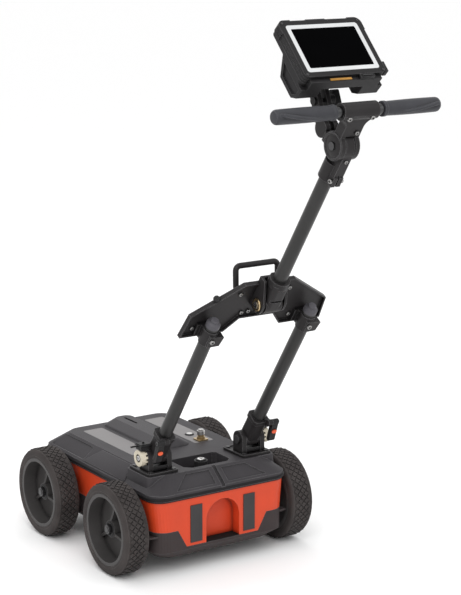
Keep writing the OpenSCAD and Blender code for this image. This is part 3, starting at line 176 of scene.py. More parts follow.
@dataclass(frozen=True)
class Texture:
    """What all finishes share, with lengths in millimetres."""

    broad_scale: float = 22.0
    broad_detail: float = 4.0
    grain_detail: float = 3.0
    brush_detail: float = 2.0
    brush_stretch: Triple = (0.04, 1.0, 1.0)
    fine_share: float = 0.35
    mottle_stops: tuple[float, float] = (0.35, 0.95)
    rough_spread: float = 0.1
    rough_least: float = 0.02
    bump_depth: float = 0.4
    edge_samples: int = 4
    # Painted shade in corners and grooves: its samples and its reach in millimetres.
    shade_samples: int = 4
    shade_reach: float = 9.0
    # Lighter edges, for wear and painted highlight: where they start, where they are full, and their gain.
    wear_and_highlight_from: float = 0.99
    wear_and_highlight_full: float = 0.85
    wear_and_highlight_gain: float = 2.0


TEXTURE = Texture()


@dataclass(frozen=True)
class Finish:
    """One finish of the cart: colour, gloss, fine structure, and lighter edges for wear and painted
    highlight.
    """

    name: str
    colour: Colour
    roughness: float = 0.5
    metallic: float = 0.0
    pattern: Pattern = Pattern.GRAIN
    scale: float = 900.0
    bump: float = 0.15
    mottle: float = 0.12
    # Strength and colour of the lighter edges: partly wear, partly painted highlight.
    wear_and_highlight: float = 0.0
    wear_and_highlight_colour: Colour = (0.3, 0.3, 0.3)
    edge: float = 0.8
    specular: float = 0.5

    def build(self) -> bpy.types.Material:
        """Makes the node material, or returns it where it exists.

        Returns:
            The material.
        """
        found = bpy.data.materials.get(self.name)
        if found is not None:
            return found
        material = bpy.data.materials.new(self.name)
        material.use_nodes = True
        tree = material.node_tree
        coords = add_node(tree, "TexCoord").outputs["Object"]
        broad = self._noise(tree, coords, TEXTURE.broad_scale, TEXTURE.broad_detail)
        fine = self._fine(tree, coords)
        bevel = add_node(tree, "Bevel", {"Radius": self.edge * MM}, samples=TEXTURE.edge_samples)
        rounded = bevel.outputs["Normal"]
        colour = self._colour(tree, broad, fine)
        # Lighter edges stand for wear and for painted highlights.
        if self.wear_and_highlight > 0:
            colour = self._worn_and_highlit(tree, colour, rounded, broad)
        least = max(self.roughness - TEXTURE.rough_spread, TEXTURE.rough_least)
        most = min(self.roughness + TEXTURE.rough_spread, 1.0)
        rough = add_node(tree, "MapRange", {"To Min": least, "To Max": most}, {"Value": broad})
        depth = {"Strength": self.bump, "Distance": TEXTURE.bump_depth * MM}
        bump = add_node(tree, "Bump", depth, {"Height": fine, "Normal": rounded})
        levels = {"Metallic": self.metallic, "Specular IOR Level": self.specular}
        sockets = {
            # The base colour carries painted shade in corners and grooves.
            "Base Color": self._painted_shade(tree, colour),
            "Roughness": rough.outputs["Result"],
            "Normal": bump.outputs["Normal"],
        }
        feed(tree, tree.nodes["Principled BSDF"], levels, sockets)
        return material

    @staticmethod
    def _noise(tree: Tree, coords: Socket, scale: float, detail: float) -> Socket:
        """Adds a noise of a scale per metre and a number of octaves, and returns its value's socket."""
        noise = add_node(tree, "TexNoise", {"Scale": scale, "Detail": detail}, {"Vector": coords})
        return noise.outputs["Fac"]

    def _fine(self, tree: Tree, coords: Socket) -> Socket:
        """Adds the pattern that feeds the bump.

        Args:
            tree: The material's nodes.
            coords: The object coordinates.

        Returns:
            The height's socket.
        """
        if self.pattern is Pattern.GRAIN:
            return self._noise(tree, coords, self.scale, TEXTURE.grain_detail)
        if self.pattern is Pattern.PEEL:
            size = {"Scale": self.scale}
            cells = add_node(tree, "TexVoronoi", size, {"Vector": coords}, feature="SMOOTH_F1")
            return cells.outputs["Distance"]
        stretched = add_node(tree, "Mapping", {"Scale": TEXTURE.brush_stretch}, {"Vector": coords})
        return self._noise(tree, stretched.outputs["Vector"], self.scale, TEXTURE.brush_detail)

    def _colour(self, tree: Tree, broad: Socket, fine: Socket) -> Socket:
        """Adds the uneven base colour.

        Args:
            tree: The material's nodes.
            broad: The broad noise.
            fine: The fine pattern.

        Returns:
            The colour's socket.
        """
        blend = add_node(tree, "Math", {1: TEXTURE.fine_share}, {0: fine, 2: broad}, operation="MULTIPLY_ADD")
        ramp = add_node(tree, "ValToRGB", links={"Fac": blend.outputs["Value"]})
        low = tuple(c * (1 - self.mottle) for c in self.colour)
        high = tuple(min(c * (1 + self.mottle), 1.0) for c in self.colour)
        for stop, position, colour in zip(ramp.color_ramp.elements, TEXTURE.mottle_stops, (low, high)):
            stop.position = position
            stop.color = (*colour, 1.0)
        return ramp.outputs["Color"]

    @staticmethod
    def _painted_shade(tree: Tree, colour: Socket) -> Socket:
        """Paints shade into the colour: darkens it in corners and grooves, where little light reaches.

        Args:
            tree: The material's nodes.
            colour: The colour so far.

        Returns:
            The socket of the colour with painted shade.
        """
        reach = {"Distance": TEXTURE.shade_reach * MM}
        # Ambient occlusion multiplies the colour: painted shade in corners and grooves.
        hollow = add_node(tree, "AmbientOcclusion", reach, {"Color": colour}, samples=TEXTURE.shade_samples)
        return hollow.outputs["Color"]

    def _worn_and_highlit(self, tree: Tree, colour: Socket, rounded: Socket, broad: Socket) -> Socket:
        """Lightens the edges, partly for wear where the surface rubs and partly as a painted highlight along
        them.

        Args:
            tree: The material's nodes.
            colour: The base colour.
            rounded: The rounded normal.
            broad: The broad noise that breaks the wear and highlight up.

        Returns:
            The socket of the colour with worn and highlit edges.
        """
        flat = add_node(tree, "NewGeometry").outputs["Normal"]
        dot = add_node(tree, "VectorMath", links={0: rounded, 1: flat}, operation="DOT_PRODUCT")
        gain = TEXTURE.wear_and_highlight_gain * self.wear_and_highlight
        reach = {"From Min": TEXTURE.wear_and_highlight_from, "From Max": TEXTURE.wear_and_highlight_full, "To Max": gain}
        edge = add_node(tree, "MapRange", reach, {"Value": dot.outputs["Value"]}).outputs["Result"]
        share = add_node(tree, "Math", links={0: edge, 1: broad}, operation="MULTIPLY", use_clamp=True)
        # The mix node's colour sockets share their names with its other kinds, so they go by number.
        # The lighter edge colour: partly wear, partly painted highlight.
        edge_paint = {7: (*self.wear_and_highlight_colour, 1.0)}
        mix = add_node(tree, "Mix", edge_paint, {0: share.outputs["Value"], 6: colour}, data_type="RGBA")
        return mix.outputs[2]


class Finishes:
    """The finishes of the cart."""

    # The wear and highlight colours lighten the edges: partly wear, partly painted highlight.
    COVER = Finish("cover_charcoal", (0.044, 0.041, 0.0445), 0.5, scale=1500, bump=0.35, wear_and_highlight=1.1,
                   wear_and_highlight_colour=(0.17, 0.165, 0.17), edge=2.2, specular=0.12)
    SPINE = Finish("spine_charcoal", (0.05, 0.047, 0.0505), 0.46, scale=1500, bump=0.3, wear_and_highlight=1.0,
                   wear_and_highlight_colour=(0.17, 0.165, 0.17), edge=2.2, specular=0.14)
    SHELL = Finish("shell_orange", (0.57, 0.05, 0.0125), 0.46, scale=1300, bump=0.2, mottle=0.08, wear_and_highlight=0.3,
                   wear_and_highlight_colour=(0.8, 0.2, 0.09), edge=1.5, specular=0.35)
    TRAY = Finish("tray_black", (0.046, 0.037, 0.037), 0.55, scale=900, bump=0.4, wear_and_highlight=0.8,
                  wear_and_highlight_colour=(0.14, 0.131, 0.131), edge=2.0, specular=0.1)
    STRIP = Finish("strip_black", (0.013, 0.0122, 0.013), 0.4, scale=1200, bump=0.15, wear_and_highlight=0.3,
                   wear_and_highlight_colour=(0.09, 0.088, 0.09), edge=1.0, specular=0.12)
    PANEL = Finish("panel_grey", (0.165, 0.155, 0.155), 0.42, pattern=Pattern.BRUSHED, scale=700, bump=0.12,
                   mottle=0.14, edge=0.4)
    BLACK_METAL = Finish("powder_coat", (0.024, 0.0222, 0.0228), 0.36, pattern=Pattern.PEEL, scale=900,
                         bump=0.2, wear_and_highlight=1.0, wear_and_highlight_colour=(0.17, 0.166, 0.17), edge=1.7, specular=0.12)
    BLACK_STEEL = Finish("steel_blackened", (0.06, 0.058, 0.06), 0.36, 0.6, Pattern.BRUSHED, 1300, 0.08,
                         wear_and_highlight=0.4, wear_and_highlight_colour=(0.3, 0.3, 0.31), edge=0.6)
    TUBE = Finish("tube_dark", (0.034, 0.0332, 0.0328), 0.32, pattern=Pattern.PEEL, scale=1200, bump=0.1,
                  mottle=0.12, edge=0.5, specular=0.18)
    BLACK_PLASTIC = Finish("moulded_black", (0.02, 0.0192, 0.02), 0.42, scale=1300, bump=0.25, wear_and_highlight=0.7,
                           wear_and_highlight_colour=(0.12, 0.118, 0.12), edge=1.5, specular=0.12)
    STEEL = Finish("steel_zinc", (0.62, 0.61, 0.6), 0.28, 1.0, Pattern.BRUSHED, 1500, 0.08, edge=0.5)
    BRASS = Finish("brass_turned", (0.6, 0.45, 0.25), 0.3, 1.0, Pattern.BRUSHED, 1500, 0.08, edge=0.5)
    TYRE = Finish("tyre_rubber", (0.045, 0.0392, 0.038), 0.66, scale=700, bump=0.35, mottle=0.3, wear_and_highlight=0.75,
                  wear_and_highlight_colour=(0.21, 0.198, 0.194), edge=1.0, specular=0.1)
    RIM = Finish("rim_grey", (0.056, 0.0528, 0.052), 0.4, scale=900, bump=0.15, wear_and_highlight=0.5,
                 wear_and_highlight_colour=(0.22, 0.217, 0.216), edge=1.4, specular=0.16)
    NYLON = Finish("nylon_cream", (0.62, 0.56, 0.44), 0.5, scale=800, bump=0.12, mottle=0.15, wear_and_highlight=0.1,
                   wear_and_highlight_colour=(0.76, 0.7, 0.56), edge=0.6)
    TAB = Finish("tab_orange", (0.75, 0.09, 0.02), 0.35, scale=1500, bump=0.1, edge=0.5)
    ALLOY = Finish("bar_alloy", (0.07, 0.07, 0.072), 0.22, 0.9, Pattern.BRUSHED, 1200, 0.06, edge=0.5)
    GRIP = Finish("grip_rubber", (0.042, 0.0425, 0.048), 0.44, scale=1600, bump=0.3, mottle=0.15, wear_and_highlight=0.9,
                  wear_and_highlight_colour=(0.12, 0.12, 0.13), edge=2.4, specular=0.16)
    BEZEL = Finish("bezel_silver", (0.62, 0.63, 0.635), 0.35, 0.2, scale=1500, bump=0.05, mottle=0.05,
                   edge=0.5)
    SCREEN = Finish("screen_glass", (0.001, 0.001, 0.0012), 0.1, scale=40, bump=0.0, mottle=0.1, edge=0.2,
                    specular=0.006)
    CASE = Finish("case_rubber", (0.018, 0.0173, 0.018), 0.52, scale=1500, bump=0.3, wear_and_highlight=0.9,
                  wear_and_highlight_colour=(0.11, 0.108, 0.11), edge=1.8, specular=0.12)
    BOARD = Finish("board_green", (0.02, 0.12, 0.05), 0.4)
    BATTERY = Finish("battery_black", (0.03, 0.03, 0.035), 0.5)
    SHIELD = Finish("shield_alloy", (0.55, 0.56, 0.57), 0.35, 1.0, Pattern.BRUSHED)
    PLATE = Finish("plate_dark", (0.04, 0.0375, 0.038), 0.32, scale=1200, bump=0.06, mottle=0.15, edge=0.4,
                   specular=0.2)
    SCREW = Finish("screw_zinc", (0.3, 0.295, 0.29), 0.34, 1.0, Pattern.BRUSHED, 1500, 0.08, edge=0.4)
    MAT = Finish("mat_black", (0.012, 0.0112, 0.0112), 0.9, scale=700, bump=0.4, edge=0.5, specular=0.08)
    PLUG = Finish("plug_grey", (0.085, 0.082, 0.092), 0.45, scale=1500, bump=0.2, edge=1.0, specular=0.16)
    AMBER = Finish("strip_amber", (0.5, 0.25, 0.045), 0.4, 0.3, scale=1200, bump=0.1, edge=0.3)


NODE_FINISH: dict[Finish, tuple[str, ...]] = {
    Finishes.TRAY: ("skid_tray",),
    Finishes.SHELL: ("antenna_housing",),
    Finishes.COVER: ("top_cover",),
    Finishes.PANEL: ("deck_panels",),
    Finishes.SPINE: ("spine_cover",),
    Finishes.BLACK_PLASTIC: (
        "accessory_post", "lock_blocks", "left_lever", "right_lever", "arm_knob", "tablet_cradle",
    ),
    Finishes.BRASS: ("data_connector", "lock_washers"),
    Finishes.STEEL: ("connector_cap", "power_button", "clamp_bolts", "mast_pin"),
    Finishes.BLACK_STEEL: ("chassis_fasteners", "axle_studs", "fold_pins", "tilt_pin"),
    Finishes.BLACK_METAL: (
        "left_foot", "right_foot", "left_socket", "right_socket", "yoke_plate", "post_clamps", "grab_handle",
        "mast_clevis", "mast_socket", "mast_cap", "bar_clamp", "bar_cap", "base_ball", "tablet_arm",
    ),
    Finishes.NYLON: ("axle_sleeves", "left_lock_wheel", "right_lock_wheel"),
    Finishes.BATTERY: ("battery_pack",),
    Finishes.BOARD: ("circuit_boards",),
    Finishes.SHIELD: ("antenna_shields",),
    Finishes.TYRE: ("tyre_fl", "tyre_fr", "tyre_rl", "tyre_rr"),
    Finishes.RIM: ("rim_fl", "rim_fr", "rim_rl", "rim_rr"),
    Finishes.TUBE: ("left_post", "right_post", "mast_tube"),
    Finishes.TAB: ("left_lever_tab", "right_lever_tab"),
    Finishes.ALLOY: ("handlebar",),
    Finishes.GRIP: ("left_grip", "right_grip"),
    Finishes.CASE: ("tablet_case",),
    Finishes.BEZEL: ("tablet_bezel",),
    Finishes.SCREEN: ("tablet_screen",),
}


def dress_nodes() -> None:
    """Gives every solid of the frame its finish."""
    for finish, names in NODE_FINISH.items():
        material = finish.build()
        for name in names:
            slots = NODES[name].data.materials
            slots.clear()
            slots.append(material)
            LOG.info("solid %s: %s", name, finish.name)


class Work(Enum):
    """What a tool's shape does to a piece."""

    CUT = "DIFFERENCE"
    JOIN = "UNION"


class Bench:
    """Modelling steps that the pieces share."""

    MERGE: float = 0.01
    SMOOTH: float = 35.0
    ROD_SIDES: int = 24
    BEND_STEPS: int = 8

    @staticmethod
    def done() -> None:
        """Leaves edit mode."""
        if bpy.context.object is not None and bpy.context.object.mode != "OBJECT":
            bpy.ops.object.mode_set(mode="OBJECT")

    @staticmethod
    def clear() -> None:
        """Deselects everything."""
        Bench.done()
        bpy.ops.object.select_all(action="DESELECT")

    @staticmethod
    def activate(piece: Piece) -> None:
        """Makes a piece the active one and the only one selected.

        Args:
            piece: The object.
        """
        Bench.clear()
        piece.select_set(True)
        bpy.context.view_layer.objects.active = piece

    @staticmethod
    def apply() -> None:
        """Moves the selected object's place into its mesh."""
        bpy.ops.object.transform_apply(location=True, rotation=True, scale=True)

    @staticmethod
    def take(name: str) -> Piece:
        """Names a new primitive and moves its place into its mesh.

        Args:
            name: The piece's name.

        Returns:
            The primitive, selected and active.
        """
        piece = bpy.context.object
        piece.name = piece.data.name = name
        Bench.apply()
        return piece

    @staticmethod
    def edit(kind: str) -> None:
        """Enters edit mode with everything selected.

        Args:
            kind: Whether edges or faces are picked.
        """
        bpy.ops.object.mode_set(mode="EDIT")
        bpy.ops.mesh.select_mode(type=kind)
        bpy.ops.mesh.select_all(action="SELECT")

    @staticmethod
    def fill() -> None:
        """Closes the open ends."""
        bpy.ops.mesh.select_all(action="SELECT")
        bpy.ops.mesh.fill_holes(sides=0)

    @staticmethod
    def face_out() -> None:
        """Turns all faces outwards and leaves edit mode."""
        bpy.ops.mesh.select_all(action="SELECT")
        bpy.ops.mesh.normals_make_consistent(inside=False)
        Bench.done()

    @staticmethod
    def block(name: str, size: Sequence[float], centre: Sequence[float]) -> Piece:
        """Adds a block to be shaped further.

        Args:
            name: The piece's name.
            size: Its three sides in millimetres.
            centre: Its middle in millimetres.

        Returns:
            The new object, selected and active.
        """
        Bench.clear()
        bpy.ops.mesh.primitive_cube_add(size=1, location=mm(*centre))
        bpy.context.object.scale = mm(*size)
        return Bench.take(name)

    @staticmethod
    def drum(name: str, radius: float, height: float, foot: float = 0.0, sides: int = 32) -> Piece:
        """Adds an upright drum on Z to be shaped further.

        Args:
            name: The piece's name.
            radius: Its radius in millimetres.
            height: Its height in millimetres.
            foot: Where on Z it stands, in millimetres.
            sides: Number of sides.

        Returns:
            The new object, selected and active.
        """
        Bench.clear()
        bpy.ops.mesh.primitive_cylinder_add(
            vertices=sides, radius=radius * MM, depth=height * MM, location=mm(0, 0, foot + height / 2)
        )
        return Bench.take(name)

    @staticmethod
    def turn(name: str, outline: Sequence[tuple[float, float]], sides: int = 48, ring: bool = False) -> Piece:
        """Raises a circle step by step into a turned piece round Z.

        Args:
            name: The piece's name.
            outline: Radius and height of each step in millimetres.
            sides: Number of sides.
            ring: Whether the last step closes on the first; otherwise both ends are filled.

        Returns:
            The new object, selected and active.
        """
        Bench.clear()
        radius, height = outline[0]
        bpy.ops.mesh.primitive_circle_add(vertices=sides, radius=radius * MM, location=mm(0, 0, height))
        piece = Bench.take(name)
        Bench.edit("EDGE")
        for wide, high in [*outline[1:], *(outline[:1] if ring else ())]:
            Bench.push(0, 0, high - height)
            bpy.ops.transform.resize(value=(wide / radius, wide / radius, 1))
            radius, height = wide, high
        if ring:
            bpy.ops.mesh.select_all(action="SELECT")
            bpy.ops.mesh.remove_doubles(threshold=Bench.MERGE * MM)
        else:
            Bench.fill()
        Bench.face_out()
        return piece

    @staticmethod
    def rod(name: str, radius: float, path: Sequence[Sequence[float]], bend: float) -> Piece:
        """Draws a circle along a path and spins it round the path's corners.

        Args:
            name: The piece's name.
            radius: The rod's radius in millimetres.
            path: The corners of the rod's axis in millimetres, with both ends.
            bend: Radius of the axis at each corner in millimetres.

        Returns:
            The new object, selected and active.
        """
        Bench.clear()
        points = [Vector(point) for point in path]
        ways = [(after - before).normalized() for before, after in zip(points, points[1:])]
        bpy.ops.mesh.primitive_circle_add(
            vertices=Bench.ROD_SIDES, radius=radius * MM, location=mm(*points[0]),
            rotation=ways[0].to_track_quat("Z", "Y").to_euler(),
        )
        piece = Bench.take(name)
        Bench.edit("EDGE")
        at = points[0]
        for corner, way, after in zip(points[1:-1], ways, ways[1:]):
            angle = way.angle(after)
            end = corner - way * bend * math.tan(angle / 2)
            Bench.push(*(end - at))
            axis = way.cross(after).normalized()
            # Spin turns left-handed round its axis, so the angle is negative.
            middle = mm(*(end + axis.cross(way) * bend))
            bpy.ops.mesh.spin(steps=Bench.BEND_STEPS, angle=-angle, center=middle, axis=axis)
            at = corner + after * bend * math.tan(angle / 2)
        Bench.push(*(points[-1] - at))
        Bench.fill()
        Bench.face_out()
        return piece

    @staticmethod
    def sheet(name: str, corners: Sequence[tuple[float, float]], thickness: float) -> Piece:
        """Shapes a square into a flat sheet with the corners given, standing on Z = 0.

        Args:
            name: The piece's name.
            corners: Its four corners in millimetres, one after the other.
            thickness: Its thickness in millimetres.

        Returns:
            The new object, selected and active.
        """
        Bench.clear()
        bpy.ops.mesh.primitive_plane_add(size=1)
        piece = Bench.take(name)
        for index, (x, y) in zip(piece.data.polygons[0].vertices[:], corners):
            piece.data.vertices[index].co = mm(x, y, 0)
        Bench.edit("FACE")
        Bench.push(0, 0, thickness)
        Bench.face_out()
        return piece

    @staticmethod
    def stand(sheet: Piece, front: float) -> None:
        """Turns the active sheet upright, so that its foot on Z = 0 comes to a Y in millimetres."""
        sheet.matrix_world = Matrix.Translation(mm(0, front, 0)) @ Matrix.Rotation(math.pi / 2, 4, "X")
        Bench.apply()

    @staticmethod
    def combine(piece: Piece, tool: Piece, work: Work) -> None:
        """Cuts a tool's shape out of a piece, or joins it on, and drops the tool.

        Args:
            piece: The object that stays.
            tool: The shape to take away or to add.
            work: Which of the two.
        """
        Bench.activate(piece)
        change = piece.modifiers.new("change", "BOOLEAN")
        change.operation = work.value
        change.object = tool
        bpy.ops.object.modifier_apply(modifier=change.name)
        bpy.data.objects.remove(tool)

    @staticmethod
    def unpick(kind: str) -> None:
        """Deselects all of the active mesh and leaves edit mode.

        Args:
            kind: Whether edges or faces are picked next.
        """
        bpy.ops.object.mode_set(mode="EDIT")
        bpy.ops.mesh.select_mode(type=kind)
        bpy.ops.mesh.select_all(action="DESELECT")
        bpy.ops.object.mode_set(mode="OBJECT")

    @staticmethod
    def pick(piece: Piece, test: FaceTest) -> None:
        """Selects faces and enters edit mode.

        Args:
            piece: The object.
            test: Says whether a face is wanted.
        """
        Bench.unpick("FACE")
        for polygon in piece.data.polygons:
            polygon.select = test(polygon)
        bpy.ops.object.mode_set(mode="EDIT")

    @staticmethod
    def pick_upright_edges(piece: Piece) -> None:
        """Selects the edges along Z and enters edit mode.

        Args:
            piece: The object.
        """
        Bench.unpick("EDGE")
        points = piece.data.vertices
        for edge in piece.data.edges:
            low, high = (points[index].co for index in edge.vertices)
            edge.select = (low - high).xy.length < Bench.MERGE * MM
        bpy.ops.object.mode_set(mode="EDIT")

    @staticmethod
    def push(x: float, y: float, z: float) -> None:
        """Extrudes what is selected by a step in millimetres."""
        bpy.ops.mesh.extrude_region_move(TRANSFORM_OT_translate={"value": tuple(mm(x, y, z))})

    @staticmethod
    def raise_each(height: float) -> None:
        """Extrudes each selected face by itself, outwards by a height in millimetres."""
        bpy.ops.mesh.extrude_faces_move(TRANSFORM_OT_shrink_fatten={"value": height * MM})

    @staticmethod
    def inset(width: float, rise: float = 0.0) -> None:
        """Insets the selected faces by a width and raises them, in millimetres."""
        bpy.ops.mesh.inset(thickness=width * MM, depth=rise * MM)

    @staticmethod
    def round_edges(piece: Piece, width: float, segments: int = 2, angle: float = 30.0) -> None:
        """Bevels the piece's sharp edges and applies the bevel.

        Args:
            piece: The object.
            width: Bevel width in millimetres.
            segments: Number of segments.
            angle: Least angle of a sharp edge in degrees.
        """
        Bench.done()
        bevel = piece.modifiers.new("round", "BEVEL")
        bevel.width = width * MM
        bevel.segments = segments
        bevel.limit_method = "ANGLE"
        bevel.angle_limit = math.radians(angle)
        bpy.ops.object.modifier_apply(modifier=bevel.name)

    @staticmethod
    def settle(piece: Piece, place: Matrix, body: str, finish: Finish, slot: str) -> Piece:
        """Puts a finished piece in its place and hands it to its body.

        Args:
            piece: The object, modelled in a local frame.
            place: That frame.
            body: The body that carries it.
            finish: Its finish.
            slot: The record's material slot; not used.

        Returns:
            The piece.
        """
        Bench.activate(piece)
        piece.matrix_world = place @ piece.matrix_world
        Bench.apply()
        bpy.ops.object.shade_smooth_by_angle(angle=math.radians(Bench.SMOOTH))
        piece.data.materials.clear()
        piece.data.materials.append(finish.build())
        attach(piece, body)
        LOG.info("piece %s on %s: %d faces", piece.name, body, len(piece.data.polygons))
        return piece

    @staticmethod
    def again(piece: Piece, name: str) -> Piece:
        """Copies a piece with a mesh of its own.

        Args:
            piece: The object to copy.
            name: The copy's name.

        Returns:
            The copy.
        """
        copy = piece.copy()
        copy.data = piece.data.copy()
        copy.name = copy.data.name = name
        bpy.context.scene.collection.objects.link(copy)
        return copy

    @staticmethod
    def row(piece: Piece, places: Sequence[Matrix], body: str, finish: Finish, slot: str) -> list[Piece]:
        """Puts a piece and copies of it in their places.

        Args:
            piece: The finished piece.
            places: One frame for each.
            body: The body that carries them.
            finish: Their finish.
            slot: The record's material slot; not used.

        Returns:
            The piece and its copies.
        """
        copies = [Bench.again(piece, f"{piece.name}_{number}") for number in range(2, len(places) + 1)]
        return [Bench.settle(one, place, body, finish, slot) for one, place in zip([piece, *copies], places)]


@dataclass(frozen=True)
class Tile:
    """A block with one face stepped in or out, in millimetres."""

    name: str
    size: Triple
    centre: Triple
    face: Triple
    steps: Pairs
    rounding: float

    def make(self) -> Piece:
        """Makes the block, with a rim's width and a rise for each step.

        Returns:
            The block.
        """
        tile = Bench.block(self.name, self.size, self.centre)
        Bench.pick(tile, facing(self.face))
        for width, rise in self.steps:
            Bench.inset(width, rise)
        Bench.round_edges(tile, self.rounding)
        return tile


@dataclass(frozen=True)
class Screw:
    """A screw head with a six-sided socket, in millimetres and in shares of its radius and height."""

    name: str
    radius: float
    height: float
    edge: float = 0.8
    top: float = 0.85
    key: float = 0.55
    floor: float = 0.4
    rounding: float = 0.05
    sides: int = 24
    key_sides: int = 6

    def make(self) -> Piece:
        """Makes the head, standing on Z = 0.

        Returns:
            The head.
        """
        radius, height = self.radius, self.height
        outline = ((radius, 0), (radius, self.edge * height), (self.top * radius, height))
        head = Bench.turn(self.name, outline, self.sides)
        key = Bench.drum("key", self.key * radius, height, self.floor * height, self.key_sides)
        Bench.combine(head, key, Work.CUT)
        Bench.round_edges(head, self.rounding * radius, segments=1)
        return head

    def fit(self, places: Sequence[Matrix], body: str) -> list[Piece]:
        """Puts zinc plated heads of this kind on a body and returns them."""
        return Bench.row(self.make(), places, body, Finishes.SCREW, "steel")


@dataclass
class RadarBody:
    """Trim of the radar's body: plates, sill, ledges, bands, button collar, connector cap and bush."""

    plate: Tile = Tile("plate", (30.0, 1.2, 84.0), (0, -248.6, 112.0), REAR, ((2.0, -0.4),), 0.3)
    plate_x: float = 68.7
    relief: Pairs = ((-120.0, 4.0), (62.0, 4.0), (28.0, 46.0), (-105.0, 46.0))
    relief_t: float = 1.6
    relief_round: float = 0.7
    slope_foot: tuple[float, float] = (176.0, 187.2)
    slope_head: tuple[float, float] = (138.0, 219.2)
    sill: Tile = Tile("channel_sill", (85.0, 27.0, 1.4), (0, -234.5, 64.1), UP, ((2.0, -0.5),), 0.3)
    ledge: Triple = (22.0, 24.0, 5.4)
    ledge_at: Triple = (157.0, -225.0, 92.2)
    ledge_taper: Triple = (1.0, 0.7, 0.6)
    ledge_round: float = 1.0
    # The seal is a dark band that also paints the shadow line under the cover's lip.
    seal: tuple[float, float, float, float] = (348.4, 498.4, 2.6, 171.9)
    strip: tuple[float, float, float, float] = (354.4, 504.4, 6.0, 178.2)
    band_corner: float = 35.0
    band_steps: int = 12
    band_round: float = 0.2
    deck_z: float = 219.2
    panel_x: float = 83.0
    button_y: float = 18.0
    collar_outline: Pairs = ((7.2, 0.2), (7.2, 1.4), (8.0, 1.9), (10.2, 1.5), (10.8, 0.2))
    connector_y: float = -31.0
    cap_r: float = 9.1
    cap_h: float = 5.0
    cap_up: float = 15.5
    cap_sides: int = 40
    knurl_depth: float = 0.6
    knurl_round: float = 0.12
    bay_y: float = -160.0
    bush_outline: Pairs = ((4.4, -1.0), (4.4, 1.0), (5.0, 1.6), (7.4, 1.2), (8.2, 0.2), (8.2, -1.0))
    bush_up: float = 3.0

    def build(self) -> None:
        """Makes the pieces of the body."""
        self.plates()
        self.reliefs()
        Bench.settle(self.sill.make(), LAYOUT.body(), "chassis", Finishes.MAT, "tray")
        self.ledges()
        self.bands()
        self.collar()
        self.knurl()
        self.bush()

    def plates(self) -> None:
        """Makes the two bare plates beside the rear channel."""
        places = [shift(LAYOUT.body(), side * self.plate_x, 0, 0) for side, _ in SIDES]
        Bench.row(self.plate.make(), places, "chassis", Finishes.PLATE, "black_plastic")

    def reliefs(self) -> None:
        """Makes the raised field on the rear half of each side slope."""
        (foot_x, foot_z), (head_x, head_z) = self.slope_foot, self.slope_head
        for side, name in SIDES:
            corners = [(side * along, up) for along, up in self.relief]
            relief = Bench.sheet(f"{name}_relief", corners, self.relief_t)
            Bench.round_edges(relief, self.relief_round)
            up = Vector((side * (head_x - foot_x), 0, head_z - foot_z)).normalized()
            along = Vector((0, side, 0))
            turn = Matrix((along, up, along.cross(up))).transposed().to_4x4()
            place = shift(LAYOUT.body(), side * foot_x, 0, foot_z) @ turn
            Bench.settle(relief, place, "chassis", Finishes.COVER, "cover")

    def ledges(self) -> None:
        """Makes the short ledge at each rear corner of the tray."""
        ledge = Bench.block("tray_ledge", self.ledge, (self.ledge[0] / 2, 0, 0))
        Bench.pick(ledge, facing(RIGHT))
        bpy.ops.transform.resize(value=self.ledge_taper)
        Bench.round_edges(ledge, self.ledge_round)
        x, y, z = self.ledge_at
        places = [
            shift(LAYOUT.body(), side * x, y, z) @ Matrix.Rotation(turn, 4, "Z")
            for side, turn in ((1, 0.0), (-1, math.pi))
        ]
        Bench.row(ledge, places, "chassis", Finishes.TRAY, "tray")

    def bands(self) -> None:
        """Makes the very dark seal under the cover's lip, which also paints the shadow line there, and the
        strip round the lip.
        """
        for name, (width, length, height, level) in (("seal", self.seal), ("lip_strip", self.strip)):
            band = Bench.block(name, (width, length, height), (0, 0, level))
            Bench.pick_upright_edges(band)
            bpy.ops.mesh.bevel(offset=self.band_corner * MM, segments=self.band_steps, affect="EDGES")
            Bench.round_edges(band, self.band_round * height, segments=3)
            Bench.settle(band, LAYOUT.body(), "chassis", Finishes.STRIP, "black_plastic")

    def collar(self) -> None:
        """Makes the collar round the push button."""
        collar = Bench.turn("button_collar", self.collar_outline, ring=True)
        place = seat(LAYOUT.body(), (self.panel_x, self.button_y, self.deck_z), UP)
        Bench.settle(collar, place, "chassis", Finishes.BLACK_PLASTIC, "black_plastic")

    def knurl(self) -> None:
        """Makes the ring on the connector's cap, with every other side sunk."""
        ring = Bench.drum("cap_knurl", self.cap_r, self.cap_h, sides=self.cap_sides)
        Bench.pick(ring, lambda polygon: upright(polygon) and polygon.index % 2 == 0)
        Bench.raise_each(-self.knurl_depth)
        Bench.round_edges(ring, self.knurl_round, segments=1)
        place = seat(LAYOUT.body(), (self.panel_x, self.connector_y, self.deck_z + self.cap_up), UP)
        Bench.settle(ring, place, "chassis", Finishes.STEEL, "steel")

    def bush(self) -> None:
        """Makes the steel bush in the accessory post's head."""
        bush = Bench.turn("post_bush", self.bush_outline, ring=True)
        place = seat(LAYOUT.body(), (0, self.bay_y, self.deck_z + self.bush_up), UP)
        Bench.settle(bush, place, "chassis", Finishes.STEEL, "steel")


class Corner(Enum):
    """The four wheels: name, side and end."""

    FRONT_LEFT = ("fl", -1, 1)
    FRONT_RIGHT = ("fr", 1, 1)
    REAR_LEFT = ("rl", -1, -1)
    REAR_RIGHT = ("rr", 1, -1)


